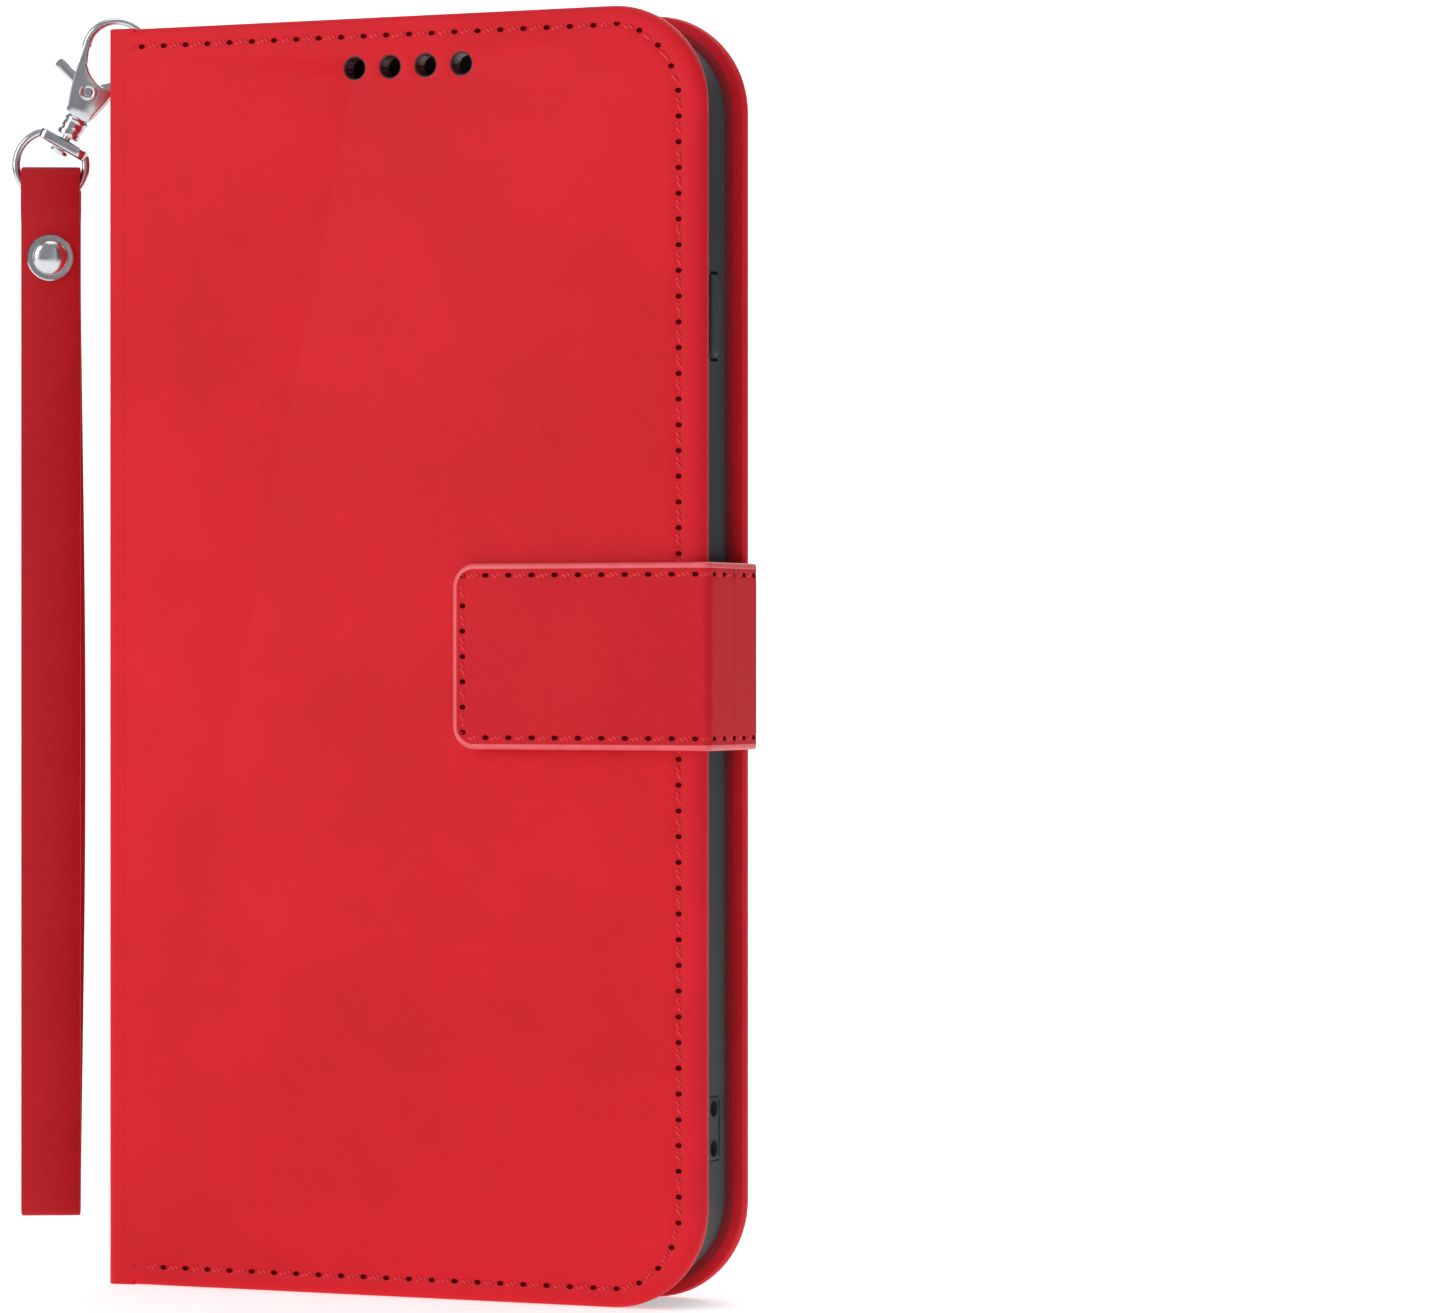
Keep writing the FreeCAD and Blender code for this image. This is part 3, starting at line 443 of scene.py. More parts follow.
def spaced(points, pitch):
    """Places and directions at an even pitch along a line of points."""
    lengths = [(Vector(b) - Vector(a)).length for a, b in zip(points, points[1:])]
    total = sum(lengths)
    count = max(2, round(total / pitch))
    out = []
    for k in range(count):
        left, index = (k + 0.5) * total / count, 0
        while index < len(lengths) - 1 and left > lengths[index]:
            left -= lengths[index]
            index += 1
        start, end = Vector(points[index]), Vector(points[index + 1])
        direction = (end - start).normalized()
        out.append((start + direction * left, direction))
    return out


def skin_over(bm, rings, joined=False):
    """Faces from each ring to the next, with flat ends, or joined round to the first ring."""
    for first, second in zip(rings, rings[1:] + (rings[:1] if joined else [])):
        ring_faces(bm, first, second)
    if not joined:
        bm.faces.new(rings[0])
        bm.faces.new(rings[-1])


def stitch_row(name, line, face_y, way, pitch, body, slant=14, thick=0.29 * mm):
    """Stitches along a line of (x, z) points on a face that looks towards way on the Y axis."""
    bm, holes = bmesh.new(), bmesh.new()
    turn = Matrix.Rotation(math.radians(slant), 2)
    stitch_long, sides = 0.72 * pitch, 6
    needle_wide, needle_tall, rim_sides, rim_lift, pit_lift = 0.40 * mm, 0.30 * mm, 10, 0.08 * mm, 0.02 * mm
    stitch_form = (-0.5, 0.4, -0.9), (-0.34, 0.9, -0.2), (0, 1.0, 0.05), (0.34, 0.9, -0.2), (0.5, 0.4, -0.9)
    for centre, direction in spaced(line, pitch):
        lean = turn @ direction
        across = Vector((-lean.y, lean.x))
        rings = []
        for share, fat, lift in stitch_form:
            ring = []
            for k in range(sides):
                round_turn = 2 * math.pi * k / sides
                flat = centre + lean * (share * stitch_long) + across * (thick * fat * math.cos(round_turn))
                rise = face_y + way * thick * (lift + 0.8 * fat * math.sin(round_turn))
                ring.append(bm.verts.new((flat.x, rise, flat.y)))
            rings.append(ring)
        skin_over(bm, rings)
        # A shallow dark disc at each needle hole, painted shade standing for the hole's shadow.
        spot = centre + direction * (0.5 * pitch)
        rim = [
            holes.verts.new((
                spot.x + needle_wide * math.cos(2 * math.pi * k / rim_sides), face_y + way * rim_lift,
                spot.y + needle_tall * math.sin(2 * math.pi * k / rim_sides),
            ))
            for k in range(rim_sides)
        ]
        pit = holes.verts.new((spot.x, face_y + way * pit_lift, spot.y))
        for k in range(rim_sides):
            holes.faces.new((rim[k], rim[(k + 1) % rim_sides], pit))
    row = as_piece(bm, f"{name}_stitches", [thread], body, crease=60)
    hole_shade_discs = as_piece(holes, f"{name}_needle_holes", [needle_hole], body)
    return row, hole_shade_discs


def three_sides(shape, start_inset):
    """The stitched line of a cover: from the spine along the bottom, up the opening side and back."""
    points, corner_points = shape(stitch_inset), cover_steps + 1
    start_x = points[0][0] + start_inset
    middle_run = points[corner_points:-corner_points]
    return [(start_x, points[cover_steps][1])] + middle_run + [(start_x, points[-corner_points][1])]


cover_pitch, spine_margin, thread_sink = 3.0 * mm, 2.2 * mm, 0.12 * mm
stitch_row(
    "front_cover", three_sides(front_shape, spine_margin), front_low.y + thread_sink, -1, cover_pitch,
    "front_cover",
)
stitch_row(
    "back_cover", three_sides(back_shape, spine_margin), back_high.y - thread_sink, 1, cover_pitch, "root",
)

# ---------------------------------------------------------------- spine and its two creases
# The leather runs on from the front cover, round the first crease, over the spine's board, round the
# second crease and into the back cover. Each crease is one soft bend with no board under it.


def finish_node(node, finish):
    """Gives a piece that is shown as it was packed its material."""
    materials = frame["nodes"][node].data.materials
    materials.clear()
    materials.append(finish)


finish_node("spine_skin", cover_leather)


def bent_strip(outer, inner, low, high, round_edge):
    """A strip of leather of constant height, between two lines of (x, y) points with the same count."""
    bm = bmesh.new()
    section = [
        (0.0, low + round_edge), (0.0, high - round_edge), (0.12, high - 0.3 * round_edge), (0.5, high),
        (0.88, high - 0.3 * round_edge), (1.0, high - round_edge), (1.0, low + round_edge),
        (0.88, low + 0.3 * round_edge), (0.5, low), (0.12, low + 0.3 * round_edge),
    ]
    skin_over(bm, [
        [bm.verts.new((ox + (ix - ox) * t, oy + (iy - oy) * t, z)) for t, z in section]
        for (ox, oy), (ix, iy) in zip(outer, inner)
    ])
    return bm


def arc_points(centre, radius, start, end, steps):
    """(x, y) points on an arc, from one angle to another in degrees."""
    out = []
    for step in range(steps + 1):
        turn = math.radians(start + (end - start) * step / steps)
        out.append((centre[0] + radius * math.cos(turn), centre[1] + radius * math.sin(turn)))
    return out


def line_points(start, end, steps):
    return [
        (start[0] + (end[0] - start[0]) * k / steps, start[1] + (end[1] - start[1]) * k / steps)
        for k in range(steps)
    ]


roll, crease_skin, crease_reach = 1.1 * mm, 0.3 * mm, 2.6 * mm
crease_lift, crease_sink = 0.03 * mm, 0.09 * mm
for name, joint, cover_body, way in (
    ("front_crease", "cover_fold", "front_cover", -1), ("back_crease", "spine_fold", "root", 1),
):
    hx, hy = joints[joint]["pos_m"][0], joints[joint]["pos_m"][1]
    paths = []
    for radius in (roll + crease_lift, roll + crease_lift - crease_skin):
        sunk = radius - crease_sink
        flat = line_points((hx + crease_reach, hy + way * sunk), (hx, hy + way * radius), 6)
        bend = arc_points((hx, hy), radius, 90 * way, 180 * way, 14)
        far_end = (hx - sunk, hy - way * crease_reach)
        paths.append(flat + bend + line_points((hx - radius, hy), far_end, 6)[1:] + [far_end])
    strip = as_piece(
        bent_strip(paths[0], paths[1], back_low.z, back_high.z, 0.28 * mm), name, [cover_leather], crease=50,
    )
    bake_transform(strip)

# ---------------------------------------------------------------- soft inner shell
# Moulded in one from a matt dark green-grey plastic rubber. It holds the phone by a thin lip round
# its edge, and its walls have windows for the buttons, the charging socket and a lanyard.

soft_shell, shell_shader, where = new_finish("soft_shell", 0.55)
haze, mould = where.noise(90.0, 3.0), where.noise(2600.0)
surface(
    shell_shader, haze.mixed((0.014, 0.030, 0.031), (0.024, 0.046, 0.045)), mould.bump(0.12, 0.00006),
    0.48 + haze * 0.16,
)

shell_low, shell_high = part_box("phone_shell")
shell_wall, shell_floor, shell_corner = 1.2 * mm, 0.8 * mm, 10.5 * mm
shell_shape = flat_outline(
    shell_low.x, shell_high.x, shell_low.z, shell_high.z, (shell_corner,) * 4, steps=14,
)
floor_y, mouth_y, rear_y = shell_high.y - shell_floor, shell_low.y, shell_high.y
shell_mesh = sheet_mesh(
    shell_shape,
    stepped(floor_y, -1, [(2.4, 0), (1.6, 0.12), (1.28, 0.45), (shell_wall / mm, 1.1)])
    + stepped(mouth_y, 1, [
        (shell_wall / mm, 0.62), (1.35, 0.44), (2.15, 0.38), (2.25, 0.25), (2.1, 0.05), (1.5, 0), (0.7, 0.06),
        (0.25, 0.32), (0.04, 0.9), (0.0, 2.2),
    ])
    + stepped(rear_y, -1, [(0.0, 2.0), (0.12, 0.9), (0.5, 0.25), (1.3, 0)]),
    [opening_outline], [(0.0, floor_y), (0.0, rear_y)],
)
shell = as_piece(shell_mesh, "inner_shell", [soft_shell] * 3)


def cutter(name, low, high):
    """A plain block that a window is cut with; it is taken away again."""
    bm = bmesh.new()
    bmesh.ops.create_cube(bm, size=1)
    centre, span = (Vector(low) + Vector(high)) / 2, Vector(high) - Vector(low)
    bm.transform(Matrix.Translation(centre) @ Matrix.Diagonal((*span, 1)))
    bmesh.ops.bevel(
        bm, geom=[e for e in bm.edges if abs(e.verts[0].co.x - e.verts[1].co.x) > 1e-6],
        offset=0.5 * mm, segments=4, affect="EDGES",
    )
    mesh = bpy.data.meshes.new(name)
    bm.to_mesh(mesh)
    bm.free()
    block = bpy.data.objects.new(name, mesh)
    scene.collection.objects.link(block)
    return block


def cut_out(piece, blocks):
    """Cuts blocks out of a piece for good, and clears the blocks away."""
    for block in blocks:
        tool = piece.modifiers.new(block.name, "BOOLEAN")
        tool.operation, tool.solver, tool.object = "DIFFERENCE", "EXACT", block
    solid = bpy.data.meshes.new_from_object(piece.evaluated_get(bpy.context.evaluated_depsgraph_get()))
    piece.modifiers.clear()
    piece.data = solid
    for block in blocks:
        bpy.data.objects.remove(block)


windows, slot_room = [], 0.3 * mm
buttons = ("power_button", "volume_up_button", "volume_down_button")
for node in buttons + ("lanyard_anchor",):
    low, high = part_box(node)
    room = slot_room if node in buttons else 0.0
    side = 1 if low.x > 0 else -1
    wall = shell_high.x if side > 0 else shell_low.x
    reach = sorted((wall + side * 1 * mm, wall - side * (shell_wall + 0.6 * mm)))
    windows.append(cutter(
        f"{node}_window", (reach[0], low.y - room, low.z - room), (reach[1], high.y + room, high.z + room),
    ))
power_low, power_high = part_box("power_button")
socket_x, socket_y = (shell_low.x + shell_high.x) / 2, (power_low.y + power_high.y) / 2
socket_half_wide, socket_half_deep, socket_rise = 6 * mm, 2.3 * mm, 1.8 * mm
windows.append(cutter(
    "charging_window", (socket_x - socket_half_wide, socket_y - socket_half_deep, shell_low.z - 1 * mm),
    (socket_x + socket_half_wide, socket_y + socket_half_deep, shell_low.z + socket_rise),
))
bpy.context.view_layer.update()
cut_out(shell, windows)
shell.data.shade_smooth()
shell.data.set_sharp_from_angle(angle=math.radians(35))
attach(shell, "root")
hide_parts("phone_shell")

# ---------------------------------------------------------------- button covers and lanyard anchor
# Small pads of the shell's own rubber. Each stands a little proud in its window, with a soft crown,
# and gives by less than half a millimetre onto the phone's own button.

for node in buttons:
    low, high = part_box(node)
    side = 1 if low.x > 0 else -1
    pad_shape = flat_outline(low.y, high.y, low.z, high.z, (1.2 * mm,) * 4, steps=8)
    face_x, root_x = (high.x, low.x) if side > 0 else (low.x, high.x)
    pad_mesh = sheet_mesh(
        pad_shape,
        stepped(root_x, side, [(0.15, 0), (0.0, 0.2)])
        + stepped(face_x, -side, [(0.0, 0.55), (0.12, 0.22), (0.4, 0.06), (0.8, 0)]),
    )
    for vert in pad_mesh.verts:
        vert.co = Vector((vert.co.y, vert.co.x, vert.co.z))
    pad = as_piece(pad_mesh, f"{node}_cover", [soft_shell, soft_shell], node)
    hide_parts(node)

anchor_low, anchor_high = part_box("lanyard_anchor")
anchor_y = (anchor_low.y + anchor_high.y) / 2
anchor_mesh = sheet_mesh(
    flat_outline(anchor_low.y, anchor_high.y, anchor_low.z, anchor_high.z, (0.7 * mm,) * 4, steps=6),
    [(0.0, anchor_low.x)] + stepped(anchor_high.x, -1, [(0.0, 0.3), (0.1, 0.1), (0.35, 0)]),
    [round_hole(anchor_y, anchor_low.z + drop, 1.05 * mm) for drop in (1.5 * mm, 6.2 * mm)],
    [(0.0, anchor_low.x), (0.0, anchor_high.x)],
)
for vert in anchor_mesh.verts:
    vert.co = Vector((vert.co.y, vert.co.x, vert.co.z))
anchor = as_piece(anchor_mesh, "lanyard_holes_pad", [soft_shell] * 3, "root")
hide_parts("lanyard_anchor")

# ---------------------------------------------------------------- closing strap
# Two plies of darker leather sewn together, with rounded ends and a thick pale-red painted edge. The
# strap comes out of the back cover, runs across the opening side and folds flat over the front.

strap_leather = leather("strap_leather", (0.51, 0.007, 0.014), (0.70, 0.013, 0.024), 0.52)
strap_paint, strap_paint_shader, where = new_finish("pale_edge_paint", 0.38)
smear = where.noise(420.0, 3.0)
surface(strap_paint_shader, smear.mixed((0.74, 0.075, 0.09), (0.86, 0.14, 0.155)), smear.bump(0.25, 0.0001))

tab_low, tab_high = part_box("strap_tab_outer")
inner_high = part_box("strap_tab_inner")[1]
band_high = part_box("strap_band")[1]
bend_round = 0.9 * mm
strap_face, strap_rear, band_face = tab_low.y, inner_high.y, band_high.x
bend_x = band_face - bend_round
front_bend_y, back_bend_y = strap_face + bend_round, band_high.y - bend_round
quarter = bend_round * math.pi / 2
band_middle_y = (front_bend_y + back_bend_y) / 2
middle_x = bend_x + quarter + band_middle_y - front_bend_y
tail_x = middle_x + back_bend_y - band_middle_y + quarter + 0.9 * mm
thin, thin_from, thin_over = 0.48, 1.8 * mm, 1.2 * mm


def round_the_edge(x, y, z):
    """Where a point of the strap lies, from where it would lie if the strap were flat across the front."""
    thinning = min(max((x - (bend_x - thin_from)) / thin_over, 0), 1)
    depth = (y - strap_face) * (1 + (thin - 1) * thinning)
    run = x - bend_x
    if run <= 0:
        return Vector((x, strap_face + depth, z))
    if run <= quarter:
        turn = run / bend_round
        reach = bend_round - depth
        return Vector((bend_x + reach * math.sin(turn), front_bend_y - reach * math.cos(turn), z))
    run -= quarter
    straight = back_bend_y - front_bend_y
    if run <= straight:
        return Vector((band_face - depth, front_bend_y + run, z))
    run -= straight
    if run <= quarter:
        turn = run / bend_round
        reach = bend_round - depth
        return Vector((bend_x + reach * math.cos(turn), back_bend_y + reach * math.sin(turn), z))
    return Vector((bend_x - (run - quarter), back_bend_y + bend_round - depth, z))


strap_profile = stepped(strap_rear, -1, [(1.2, 0), (0.5, 0.03), (0.15, 0.2), (0.0, 0.5)])
strap_profile += stepped(strap_face, 1, [
    (0.0, 0.5), (0.12, 0.2), (0.32, 0.05), (0.62, 0), (0.68, 0.07), (1.1, 0.06), (1.35, 0.14), (1.5, 0.14),
    (1.75, 0.06), (2.2, 0.02), (2.8, 0.02),
])
strap_round, square = 2.8 * mm, 0.05 * mm
front_strap_shape = flat_outline(
    tab_low.x, middle_x, tab_low.z, tab_high.z, (strap_round, square, square, strap_round), (1, 0, 1, 1),
    steps=10,
)
back_strap_shape = flat_outline(middle_x, tail_x, tab_low.z, tab_high.z, (square,) * 4, (0, 0, 1, 1), steps=2)
strap_stitch, strap_pitch, bend_cuts = 1.42 * mm, 3.0 * mm, 0.16 * mm
for name, shape, first_x, last_x in (
    ("closing_strap_front", front_strap_shape, tab_low.x, middle_x),
    ("closing_strap_back", back_strap_shape, middle_x, tail_x),
):
    bm = sheet_mesh(shape, strap_profile, rim=(1, 8))
    cut_x = bend_x - 2.4 * mm
    while cut_x < tail_x:
        if first_x < cut_x < last_x:
            bmesh.ops.bisect_plane(
                bm, geom=bm.verts[:] + bm.edges[:] + bm.faces[:], plane_co=(cut_x, 0, 0), plane_no=(1, 0, 0),
                dist=1e-7,
            )
        cut_x += bend_cuts
    row_low, row_high = tab_low.z + strap_stitch, tab_high.z - strap_stitch
    if first_x == tab_low.x:
        outline = front_strap_shape(strap_stitch)
        lines = [[(last_x, row_high)] + outline[33:44] + outline[:11] + [(last_x, row_low)]]
    else:
        lines = [[(first_x, row_high), (last_x, row_high)], [(first_x, row_low), (last_x, row_low)]]
    parts = [as_piece(bm, name, [strap_leather, strap_paint], crease=40)]
    for number, line in enumerate(lines):
        parts += stitch_row(
            f"{name}_{number}", line, strap_face + thread_sink, -1, strap_pitch, None,
        )
    for part in parts:
        for vert in part.data.vertices:
            vert.co = round_the_edge(*vert.co)
        if first_x == tab_low.x:
            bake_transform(part)
        else:
            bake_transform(part)
    if first_x == tab_low.x:
        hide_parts("strap_tab_outer", "strap_tab_inner")
    else:
        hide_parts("strap_band")
finish_node("strap_tail", strap_leather)

# ---------------------------------------------------------------- linings, pockets and hidden parts
# Inside, the covers are lined with a thin suede-like cloth, and the three pockets are cut from the
# same. The boards are grey card, and the pad that holds the shell is a milky gel.

inner_finishes = {
    "lining": ((0.30, 0.010, 0.016), (0.42, 0.018, 0.026), 0.85, 0.0, 700.0, 0.35),
    "board": ((0.20, 0.19, 0.17), (0.33, 0.31, 0.28), 0.9, 0.0, 350.0, 0.4),
    "adhesive": ((0.70, 0.69, 0.64), (0.82, 0.81, 0.77), 0.35, 0.0, 160.0, 0.15),
    "magnet": ((0.10, 0.10, 0.11), (0.20, 0.20, 0.21), 0.42, 0.9, 900.0, 0.15),
    "catch_steel": ((0.36, 0.36, 0.37), (0.52, 0.52, 0.53), 0.34, 1.0, 900.0, 0.12),
}
cloths = {}
for name, (deep, pale, rough, metal, scale, relief) in inner_finishes.items():
    cloths[name], shader, where = new_finish(name, rough, metal)
    broad, fine = where.noise(scale * 0.12, 3.0), where.noise(scale * 3.0, 3.0, 0.65)
    surface(
        shader, (broad * 0.5 + fine * 0.5).mixed(deep, pale), fine.bump(relief, 0.0001),
        rough - 0.08 + broad * 0.16,
    )
for node, name in (
    ("back_lining", "lining"), ("spine_lining", "lining"), ("front_lining", "lining"),
    ("cash_pocket", "lining"),
    ("card_pocket_upper", "lining"), ("card_pocket_lower", "lining"), ("back_board_spine_half", "board"),
    ("back_board_camera_half", "board"), ("spine_board", "board"), ("front_board", "board"),
    ("adhesive_pad", "adhesive"), ("strap_magnet", "magnet"), ("catch_plate", "catch_steel"),
):
    finish_node(node, cloths[name])

# ---------------------------------------------------------------- swivel clasp: loop and hooked body
# Zinc castings, polished and nickel plated. A small loop fixed at the top of the spine carries the
# hook; below it the body flares out into two cheeks with the lever between them, then narrows.


def plated(name, dark, light, roughness):
    finish, shader, where = new_finish(name, roughness, 1.0)
    tarnish = where.noise(260.0, 4.0)
    scratches = where.add("ShaderNodeMapping", Vector=where, Scale=(900.0, 900.0, 9000.0)).noise(1.0)
    sheen = roughness - 0.05 + tarnish * 0.12
    surface(shader, tarnish.mixed(dark, light), scratches.bump(0.06, 0.00003), sheen)
    return finish


clasp_metal = plated("clasp_metal", (0.50, 0.51, 0.53), (0.72, 0.73, 0.75), 0.2)
spring_steel = plated("spring_steel", (0.30, 0.30, 0.31), (0.48, 0.48, 0.50), 0.28)

loop_centre = Vector(joints["hook_swing"]["pos_m"])
clasp_turn, clasp_tilt, hook_radius, hook_from_axis = 25.5, 30.0, 3.8 * mm, math.radians(-3.9)
facing = Matrix.Rotation(math.radians(clasp_turn), 4, "Z")
hook_centre = loop_centre - facing.to_3x3() @ Vector((
    hook_radius * math.cos(hook_from_axis), 0, hook_radius * math.sin(hook_from_axis),
))
hanging = Matrix.Translation(hook_centre) @ facing
clasp_place = hanging @ Matrix.Rotation(math.radians(clasp_tilt), 4, "Y")


def tube(bm, points, radii, closed=False, sides=14):
    """A round wire along points, with a radius at each."""
    rings = []
    for k, point in enumerate(points):
        before = points[k - 1] if (closed or k) else point
        after = points[(k + 1) % len(points)] if (closed or k < len(points) - 1) else point
        ahead = (after - before).normalized()
        aside = ahead.cross(Vector((0, 1, 0))) if abs(ahead.y) < 0.9 else ahead.cross(Vector((1, 0, 0)))
        aside.normalize()
        above = ahead.cross(aside)
        rings.append([
            bm.verts.new(point + radii[k] * (aside * math.cos(turn) + above * math.sin(turn)))
            for turn in (2 * math.pi * j / sides for j in range(sides))
        ])
    skin_over(bm, rings, joined=closed)


def circle_points(centre, radius, start, end, steps):
    """Points on a circle in the XZ plane, from one angle to another in degrees."""
    turns = [math.radians(start + (end - start) * k / steps) for k in range(steps + 1)]
    return [centre + radius * Vector((math.cos(turn), 0, math.sin(turn))) for turn in turns]


def softened(corners, rounds=2):
    """A closed outline with its corners cut back again and again until they are round."""
    cut_share = 0.22
    for _ in range(rounds):
        cut = []
        for k, (x, z) in enumerate(corners):
            nx, nz = corners[(k + 1) % len(corners)]
            cut += [(x + (nx - x) * share, z + (nz - z) * share) for share in (cut_share, 1 - cut_share)]
        corners = cut
    return corners


def cast_plate(bm, corners, near, far, soft, rounds=2):
    """A cast plate across Y from near to far, with softened edges; every size is in millimetres."""
    outline = softened(corners, rounds)
    count = len(outline)
    area = sum(ax * bz - bx * az for (ax, az), (bx, bz) in zip(outline, outline[1:] + outline[:1]))
    way = 1 if area > 0 else -1
    inward = []
    for k in range(count):
        ax, az = outline[k - 1]
        bx, bz = outline[(k + 1) % count]
        length = math.hypot(bx - ax, bz - az) or 1
        inward.append((-(bz - az) / length * way, (bx - ax) / length * way))
    rings = []
    for inset, y in (
        (soft, near), (0.3 * soft, near + 0.3 * soft), (0.0, near + soft), (0.0, far - soft),
        (0.3 * soft, far - 0.3 * soft), (soft, far),
    ):
        rings.append([
            bm.verts.new(((x + ix * inset) * mm, y * mm, (z + iz * inset) * mm))
            for (x, z), (ix, iz) in zip(outline, inward)
        ])
    for first, second in zip(rings, rings[1:]):
        ring_faces(bm, first, second)
    for ring in (rings[0], rings[-1]):
        bmesh.ops.triangle_fill(
            bm, use_beauty=True, edges=[bm.edges.get((v, ring[(k + 1) % count])) for k, v in enumerate(ring)],
        )


def turned(bm, profile, centre, along, steps=28):
    """A lathe-turned part: (radius, distance) pairs round an axis through centre."""
    along = Vector(along).normalized()
    aside = along.cross(Vector((1, 0, 0))) if abs(along.x) < 0.9 else along.cross(Vector((0, 1, 0)))
    aside.normalize()
    above = along.cross(aside)
    rings = []
    for radius, far in profile:
        spoke = max(radius, 0.005 * mm)
        rings.append([
            bm.verts.new(centre + along * far + spoke * (aside * math.cos(t) + above * math.sin(t)))
            for t in (2 * math.pi * k / steps for k in range(steps))
        ])
    skin_over(bm, rings)


origin = Vector((0, 0, 0))
loop_radius, loop_wire, loop_sides = 1.25 * mm, 0.28 * mm, 30
loop_line = circle_points(origin, loop_radius, 0, 360 - 360 / loop_sides, loop_sides - 1)
bm = bmesh.new()
tube(bm, loop_line, [loop_wire] * loop_sides, closed=True)
loop = as_piece(bm, "spine_loop", [clasp_metal], "spine", where=Matrix.Translation(loop_centre))
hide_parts("clasp_loop")

bm = bmesh.new()
hook_steps, tip_steps, root_steps = 44, 5, 18
tube(bm, circle_points(origin, hook_radius, -18, 200, hook_steps), [
    mm * (0.30 + 0.16 * min(1, k / tip_steps) + 0.14 * max(0, (k - hook_steps + root_steps) / root_steps))
    for k in range(hook_steps + 1)
])
neck = [(-3.95, -0.3), (-3.65, -2.4), (-3.2, -4.2), (-1.5, -4.4), (-2.5, -2.9), (-3.1, -1.4), (-3.3, -0.3)]
cast_plate(bm, neck, -0.55, 0.55, 0.2)
cheek = [
    (-3.45, -3.3), (-3.0, -5.4), (-2.55, -7.0), (-1.95, -8.6), (-1.7, -9.6), (1.4, -9.6), (1.65, -8.2),
    (2.1, -6.4), (2.3, -4.9), (1.6, -4.65), (0.2, -4.75), (-1.4, -4.1), (-2.6, -2.9),
]
half_depth, half_slot = 1.3, 0.55
for near, far in ((-half_depth, -half_slot), (half_slot, half_depth)):
    cast_plate(bm, cheek, near, far, 0.26, rounds=1)
foot = [(-1.95, -8.55), (-1.7, -9.6), (1.4, -9.6), (1.62, -8.55)]
cast_plate(bm, foot, -half_depth + 0.05, half_depth - 0.05, 0.1, rounds=1)
hook = as_piece(bm, "hook_body", [clasp_metal], "clasp_hook", where=clasp_place)
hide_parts("clasp_body")

# ---------------------------------------------------------------- clasp lever, its rivet and spring
# The lever turns on a rivet between the cheeks. Its thin arm closes the mouth of the hook, its
# thumb piece sticks out on the far side, and a small coil in the slot pushes it shut.

pivot = Vector((-0.45 * mm, 0, -6.2 * mm))
bm = bmesh.new()
arm = [
    (-1.1, -6.9), (0.3, -7.0), (1.9, -4.9), (3.35, -2.5), (2.85, -2.05), (1.3, -3.6), (-0.2, -5.0),
    (-1.0, -5.3),
]
thumb = [(-0.6, -5.3), (-3.0, -4.8), (-4.6, -4.25), (-5.6, -4.0), (-6.0, -5.3), (-4.4, -5.65), (-0.6, -6.7)]
cast_plate(bm, arm, -0.43, 0.43, 0.16)
cast_plate(bm, thumb, -0.45, 0.45, 0.18)
turned(bm, stepped(0, 1, [(0.9, -0.44), (1.1, -0.36), (1.1, 0.36), (0.9, 0.44)]), pivot, (0, 1, 0))
lever = as_piece(bm, "thumb_lever", [clasp_metal], "clasp_lever", where=clasp_place)
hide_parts("clasp_lever")

bm = bmesh.new()
head, crown = half_depth * mm, (half_depth + 0.35) * mm
turned(
    bm, stepped(-crown, 1, [(0.0, 0), (0.42, 0.03), (0.5, 0.12), (0.62, 0.12), (0.78, 0.02), (1.0, 0.06)])
    + stepped(-head, -1, [(1.1, 0.12), (1.1, 0), (0.5, 0)])
    + stepped(head, 1, [(0.5, 0), (1.1, 0), (1.1, 0.12)])
    + stepped(crown, -1, [(1.0, 0.06), (0.78, 0.02), (0.0, 0)]), pivot, (0, 1, 0),
)
rivet = as_piece(bm, "pivot_rivet", [clasp_metal], "clasp_hook", where=clasp_place)
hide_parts("lever_rivet")

bm = bmesh.new()
coil_turns, coil_steps, coil_radius, coil_long, coil_wire = 3, 42, 0.4 * mm, 0.6 * mm, 0.09 * mm
coil_middle = Vector((-0.1 * mm, 0, -7.95 * mm))
coil = []
for k in range(coil_steps + 1):
    turn = 2 * math.pi * coil_turns * k / coil_steps
    coil.append(coil_middle + Vector((
        coil_radius * math.cos(turn), (k / coil_steps - 0.5) * coil_long, coil_radius * math.sin(turn),
    )))
tube(bm, coil, [coil_wire] * len(coil), sides=8)
spring = as_piece(bm, "return_spring", [spring_steel], "clasp_hook", where=clasp_place)
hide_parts("lever_spring")

# ---------------------------------------------------------------- swivel stud and ring
# A stepped ferrule under the hook holds the stud that the ring turns on. The ring is a round wire
# cast with a flat block across its top, and the stud's head shows inside it.

bm = bmesh.new()
foot_z, head_z = -9.6 * mm, -14.05 * mm
turned(bm, stepped(foot_z, -1, [
    (0.9, -0.35), (1.35, 0), (1.5, 0.15), (1.55, 0.4), (1.5, 0.62), (1.42, 0.70), (1.42, 0.86), (1.46, 1.05),
    (1.5, 1.3), (1.46, 1.55), (1.36, 1.65), (1.36, 1.82), (1.5, 1.95), (1.55, 2.3), (1.4, 2.6), (0.6, 2.6),
]) + stepped(head_z, -1, [
    (0.58, 0), (1.1, 0.02), (1.2, 0.2), (1.12, 0.45), (0.7, 0.62), (0.0, 0.65),
]), origin, (0, 0, 1))
stud = as_piece(bm, "ferrule_and_stud", [clasp_metal], "clasp_hook", where=clasp_place)
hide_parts("swivel_stud")

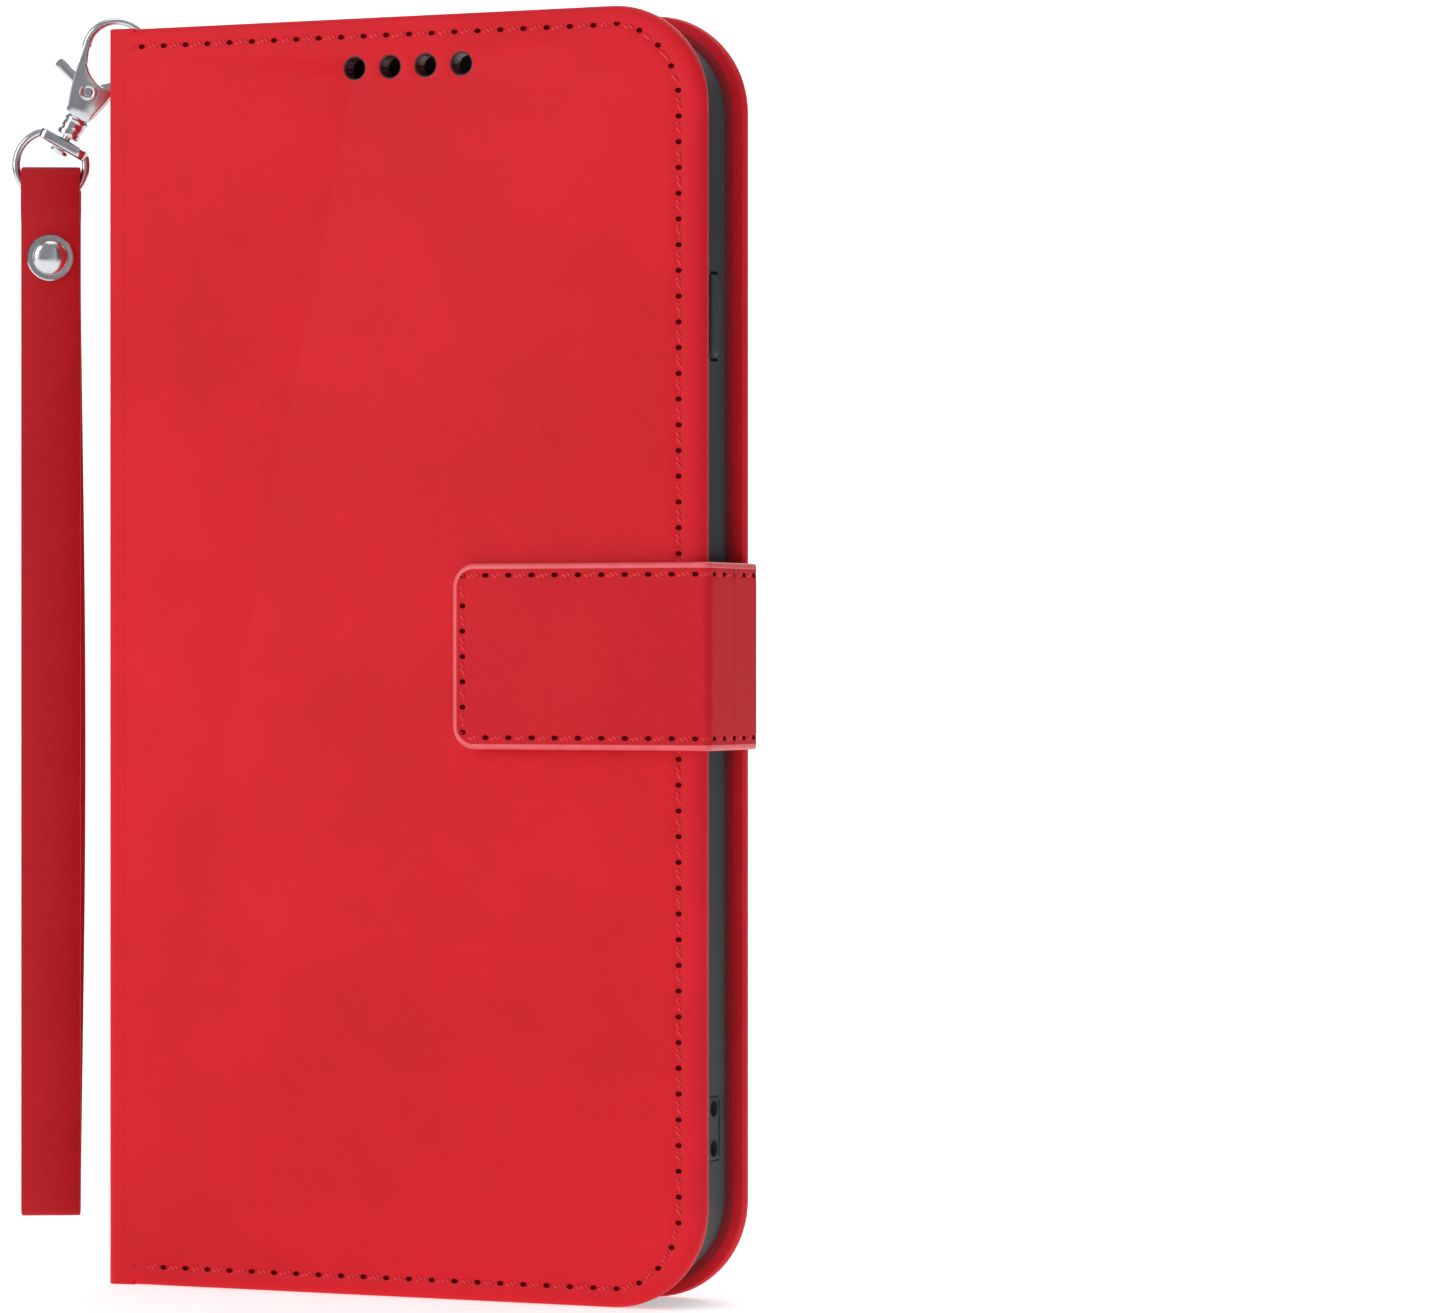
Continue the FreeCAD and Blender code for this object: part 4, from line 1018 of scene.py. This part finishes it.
bm = bmesh.new()
ring_centre = Vector((0, 0, -16.3 * mm))
ring_radius, ring_wire, boss_rise, boss_z = 4.3 * mm, 0.5 * mm, 3.0 * mm, -13.3 * mm
shoulder = math.degrees(math.asin(boss_rise / ring_radius))
ring_points = circle_points(ring_centre, ring_radius, 180 - shoulder, 360 + shoulder, 60)
tube(bm, ring_points, [ring_wire] * len(ring_points))
boss_half = ring_radius * math.cos(math.radians(shoulder)) + 0.25 * mm
boss_deep, boss_tall = 1.4 * mm, 0.65 * mm
boss = sheet_mesh(
    flat_outline(-boss_half, boss_half, -boss_deep, boss_deep, (1.3 * mm,) * 4, steps=8),
    stepped(boss_z, -1, [(0.25, 0.65), (0.05, 0.5), (0.0, 0.2)])
    + stepped(boss_z, 1, [(0.0, 0.2), (0.05, 0.5), (0.25, 0.65)]),
    [round_hole(0, 0, 0.65 * mm)], [(0.0, boss_z - boss_tall), (0.0, boss_z + boss_tall)],
)
for vert in boss.verts:
    vert.co = Vector((vert.co.x, vert.co.z, vert.co.y))
boss_data = bpy.data.meshes.new("boss")
boss.to_mesh(boss_data)
boss.free()
bm.from_mesh(boss_data)
bpy.data.meshes.remove(boss_data)
for face in bm.faces:
    face.material_index = 0
ring = as_piece(bm, "ring_with_block", [clasp_metal], "swivel_ring", where=clasp_place)
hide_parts("swivel_ring")

# ---------------------------------------------------------------- wrist strap and its rivet
# One long strip of darker red leather, folded over the ring, joined under it by a domed rivet with
# a flat rim, and left open below as a loop for the hand.

wrist_leather = leather("wrist_leather", (0.40, 0.006, 0.012), (0.53, 0.010, 0.018), 0.58, grain=1.3)
ring_hang = Matrix.Rotation(math.radians(clasp_tilt), 3, "Y") @ ring_centre
ply, wrist_half = 0.9 * mm, 3.65 * mm
wire_gap = ring_wire + 0.24 * mm
turn_radius = wire_gap + ply / 2
edge_drop = math.sqrt(ring_radius ** 2 - wrist_half ** 2)
fold_z = ring_hang.z - edge_drop + ring_wire * (ring_radius / edge_drop - 1)
top_z = fold_z + wire_gap + ply
end_z = 7.1 * mm - hook_centre.z
rivet_drop, cap_radius = 11.3 * mm, 2.9 * mm
rivet_z = top_z - rivet_drop
open_z = ring_hang.z - ring_radius - wire_gap
pinch_z = open_z - 3.0 * mm
grip_z = rivet_z - cap_radius - 0.4 * mm
bow = 10.0 * mm - ply / 2
run_steps, ease_steps = 40, 8


def eased(low, high, count):
    """Heights from low to high, each with a share that starts and ends gently."""
    shares = [k / count for k in range(count + 1)]
    return [(low + (high - low) * share, (1 - math.cos(math.pi * share)) / 2) for share in shares]


path = [(-ply / 2, end_z + ply + (pinch_z - end_z - ply) * k / run_steps) for k in range(run_steps + 1)]
path += [(-ply / 2 - (turn_radius - ply / 2) * ease, z) for z, ease in eased(pinch_z, open_z, ease_steps)[1:]]
path += [(-turn_radius, fold_z)]
path += [
    (turn_radius * math.sin(turn), fold_z + turn_radius * math.cos(turn))
    for turn in (math.radians(-90 + 15 * k) for k in range(1, 13))
]
path += [
    (ply / 2 + (turn_radius - ply / 2) * (1 - ease), z) for z, ease in eased(open_z, pinch_z, ease_steps)
]
path += [(ply / 2, grip_z)]
span = grip_z - end_z - ply
path += [
    (ply / 2 + (bow - ply / 2) * math.sin(math.pi * k / run_steps) ** 1.3, grip_z - span * k / run_steps)
    for k in range(1, run_steps + 1)
]
path += [
    (ply / 2 * math.cos(turn), end_z + ply - ply / 2 * math.sin(turn))
    for turn in (math.pi / 4, math.pi / 2, 3 * math.pi / 4)
]
strip_section = [
    (-1.0, -0.25), (-0.985, -0.42), (-0.95, -0.5), (0.95, -0.5), (0.985, -0.42), (1.0, -0.25), (1.0, 0.25),
    (0.985, 0.42), (0.95, 0.5), (-0.95, 0.5), (-0.985, 0.42), (-1.0, 0.25),
]
bm = bmesh.new()
stations = []
for k, (y, z) in enumerate(path):
    before, after = path[k - 1], path[(k + 1) % len(path)]
    length = math.hypot(after[0] - before[0], after[1] - before[1])
    normal_y, normal_z = (after[1] - before[1]) / length, -(after[0] - before[0]) / length
    stations.append([
        bm.verts.new((ring_hang.x + wide * wrist_half, y + normal_y * deep * ply, z + normal_z * deep * ply))
        for wide, deep in strip_section
    ])
skin_over(bm, stations, joined=True)
wrist = as_piece(bm, "wrist_loop_strap", [wrist_leather], "wrist_strap", crease=60, where=hanging)
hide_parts("wrist_strap")

bm = bmesh.new()
cap, rim_flat = 1.3 * mm, 0.35 * mm
dome = stepped(ply, 1, [(cap_radius / mm, 0), (cap_radius / mm, 0.2), (2.75, 0.35), (2.3, 0.35)])
dome += [
    (2.2 * mm * math.cos(turn), ply + rim_flat + (cap - rim_flat) * math.sin(turn))
    for turn in (math.radians(10 * k) for k in range(10))
]
profile = [(radius, -far) for radius, far in reversed(dome)] + [(0.9 * mm, -ply), (0.9 * mm, ply)] + dome
turned(bm, profile, Vector((ring_hang.x, 0, rivet_z)), (0, 1, 0), steps=40)
wrist_rivet = as_piece(bm, "domed_rivet", [clasp_metal], "wrist_strap", where=hanging)
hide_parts("wrist_rivet")
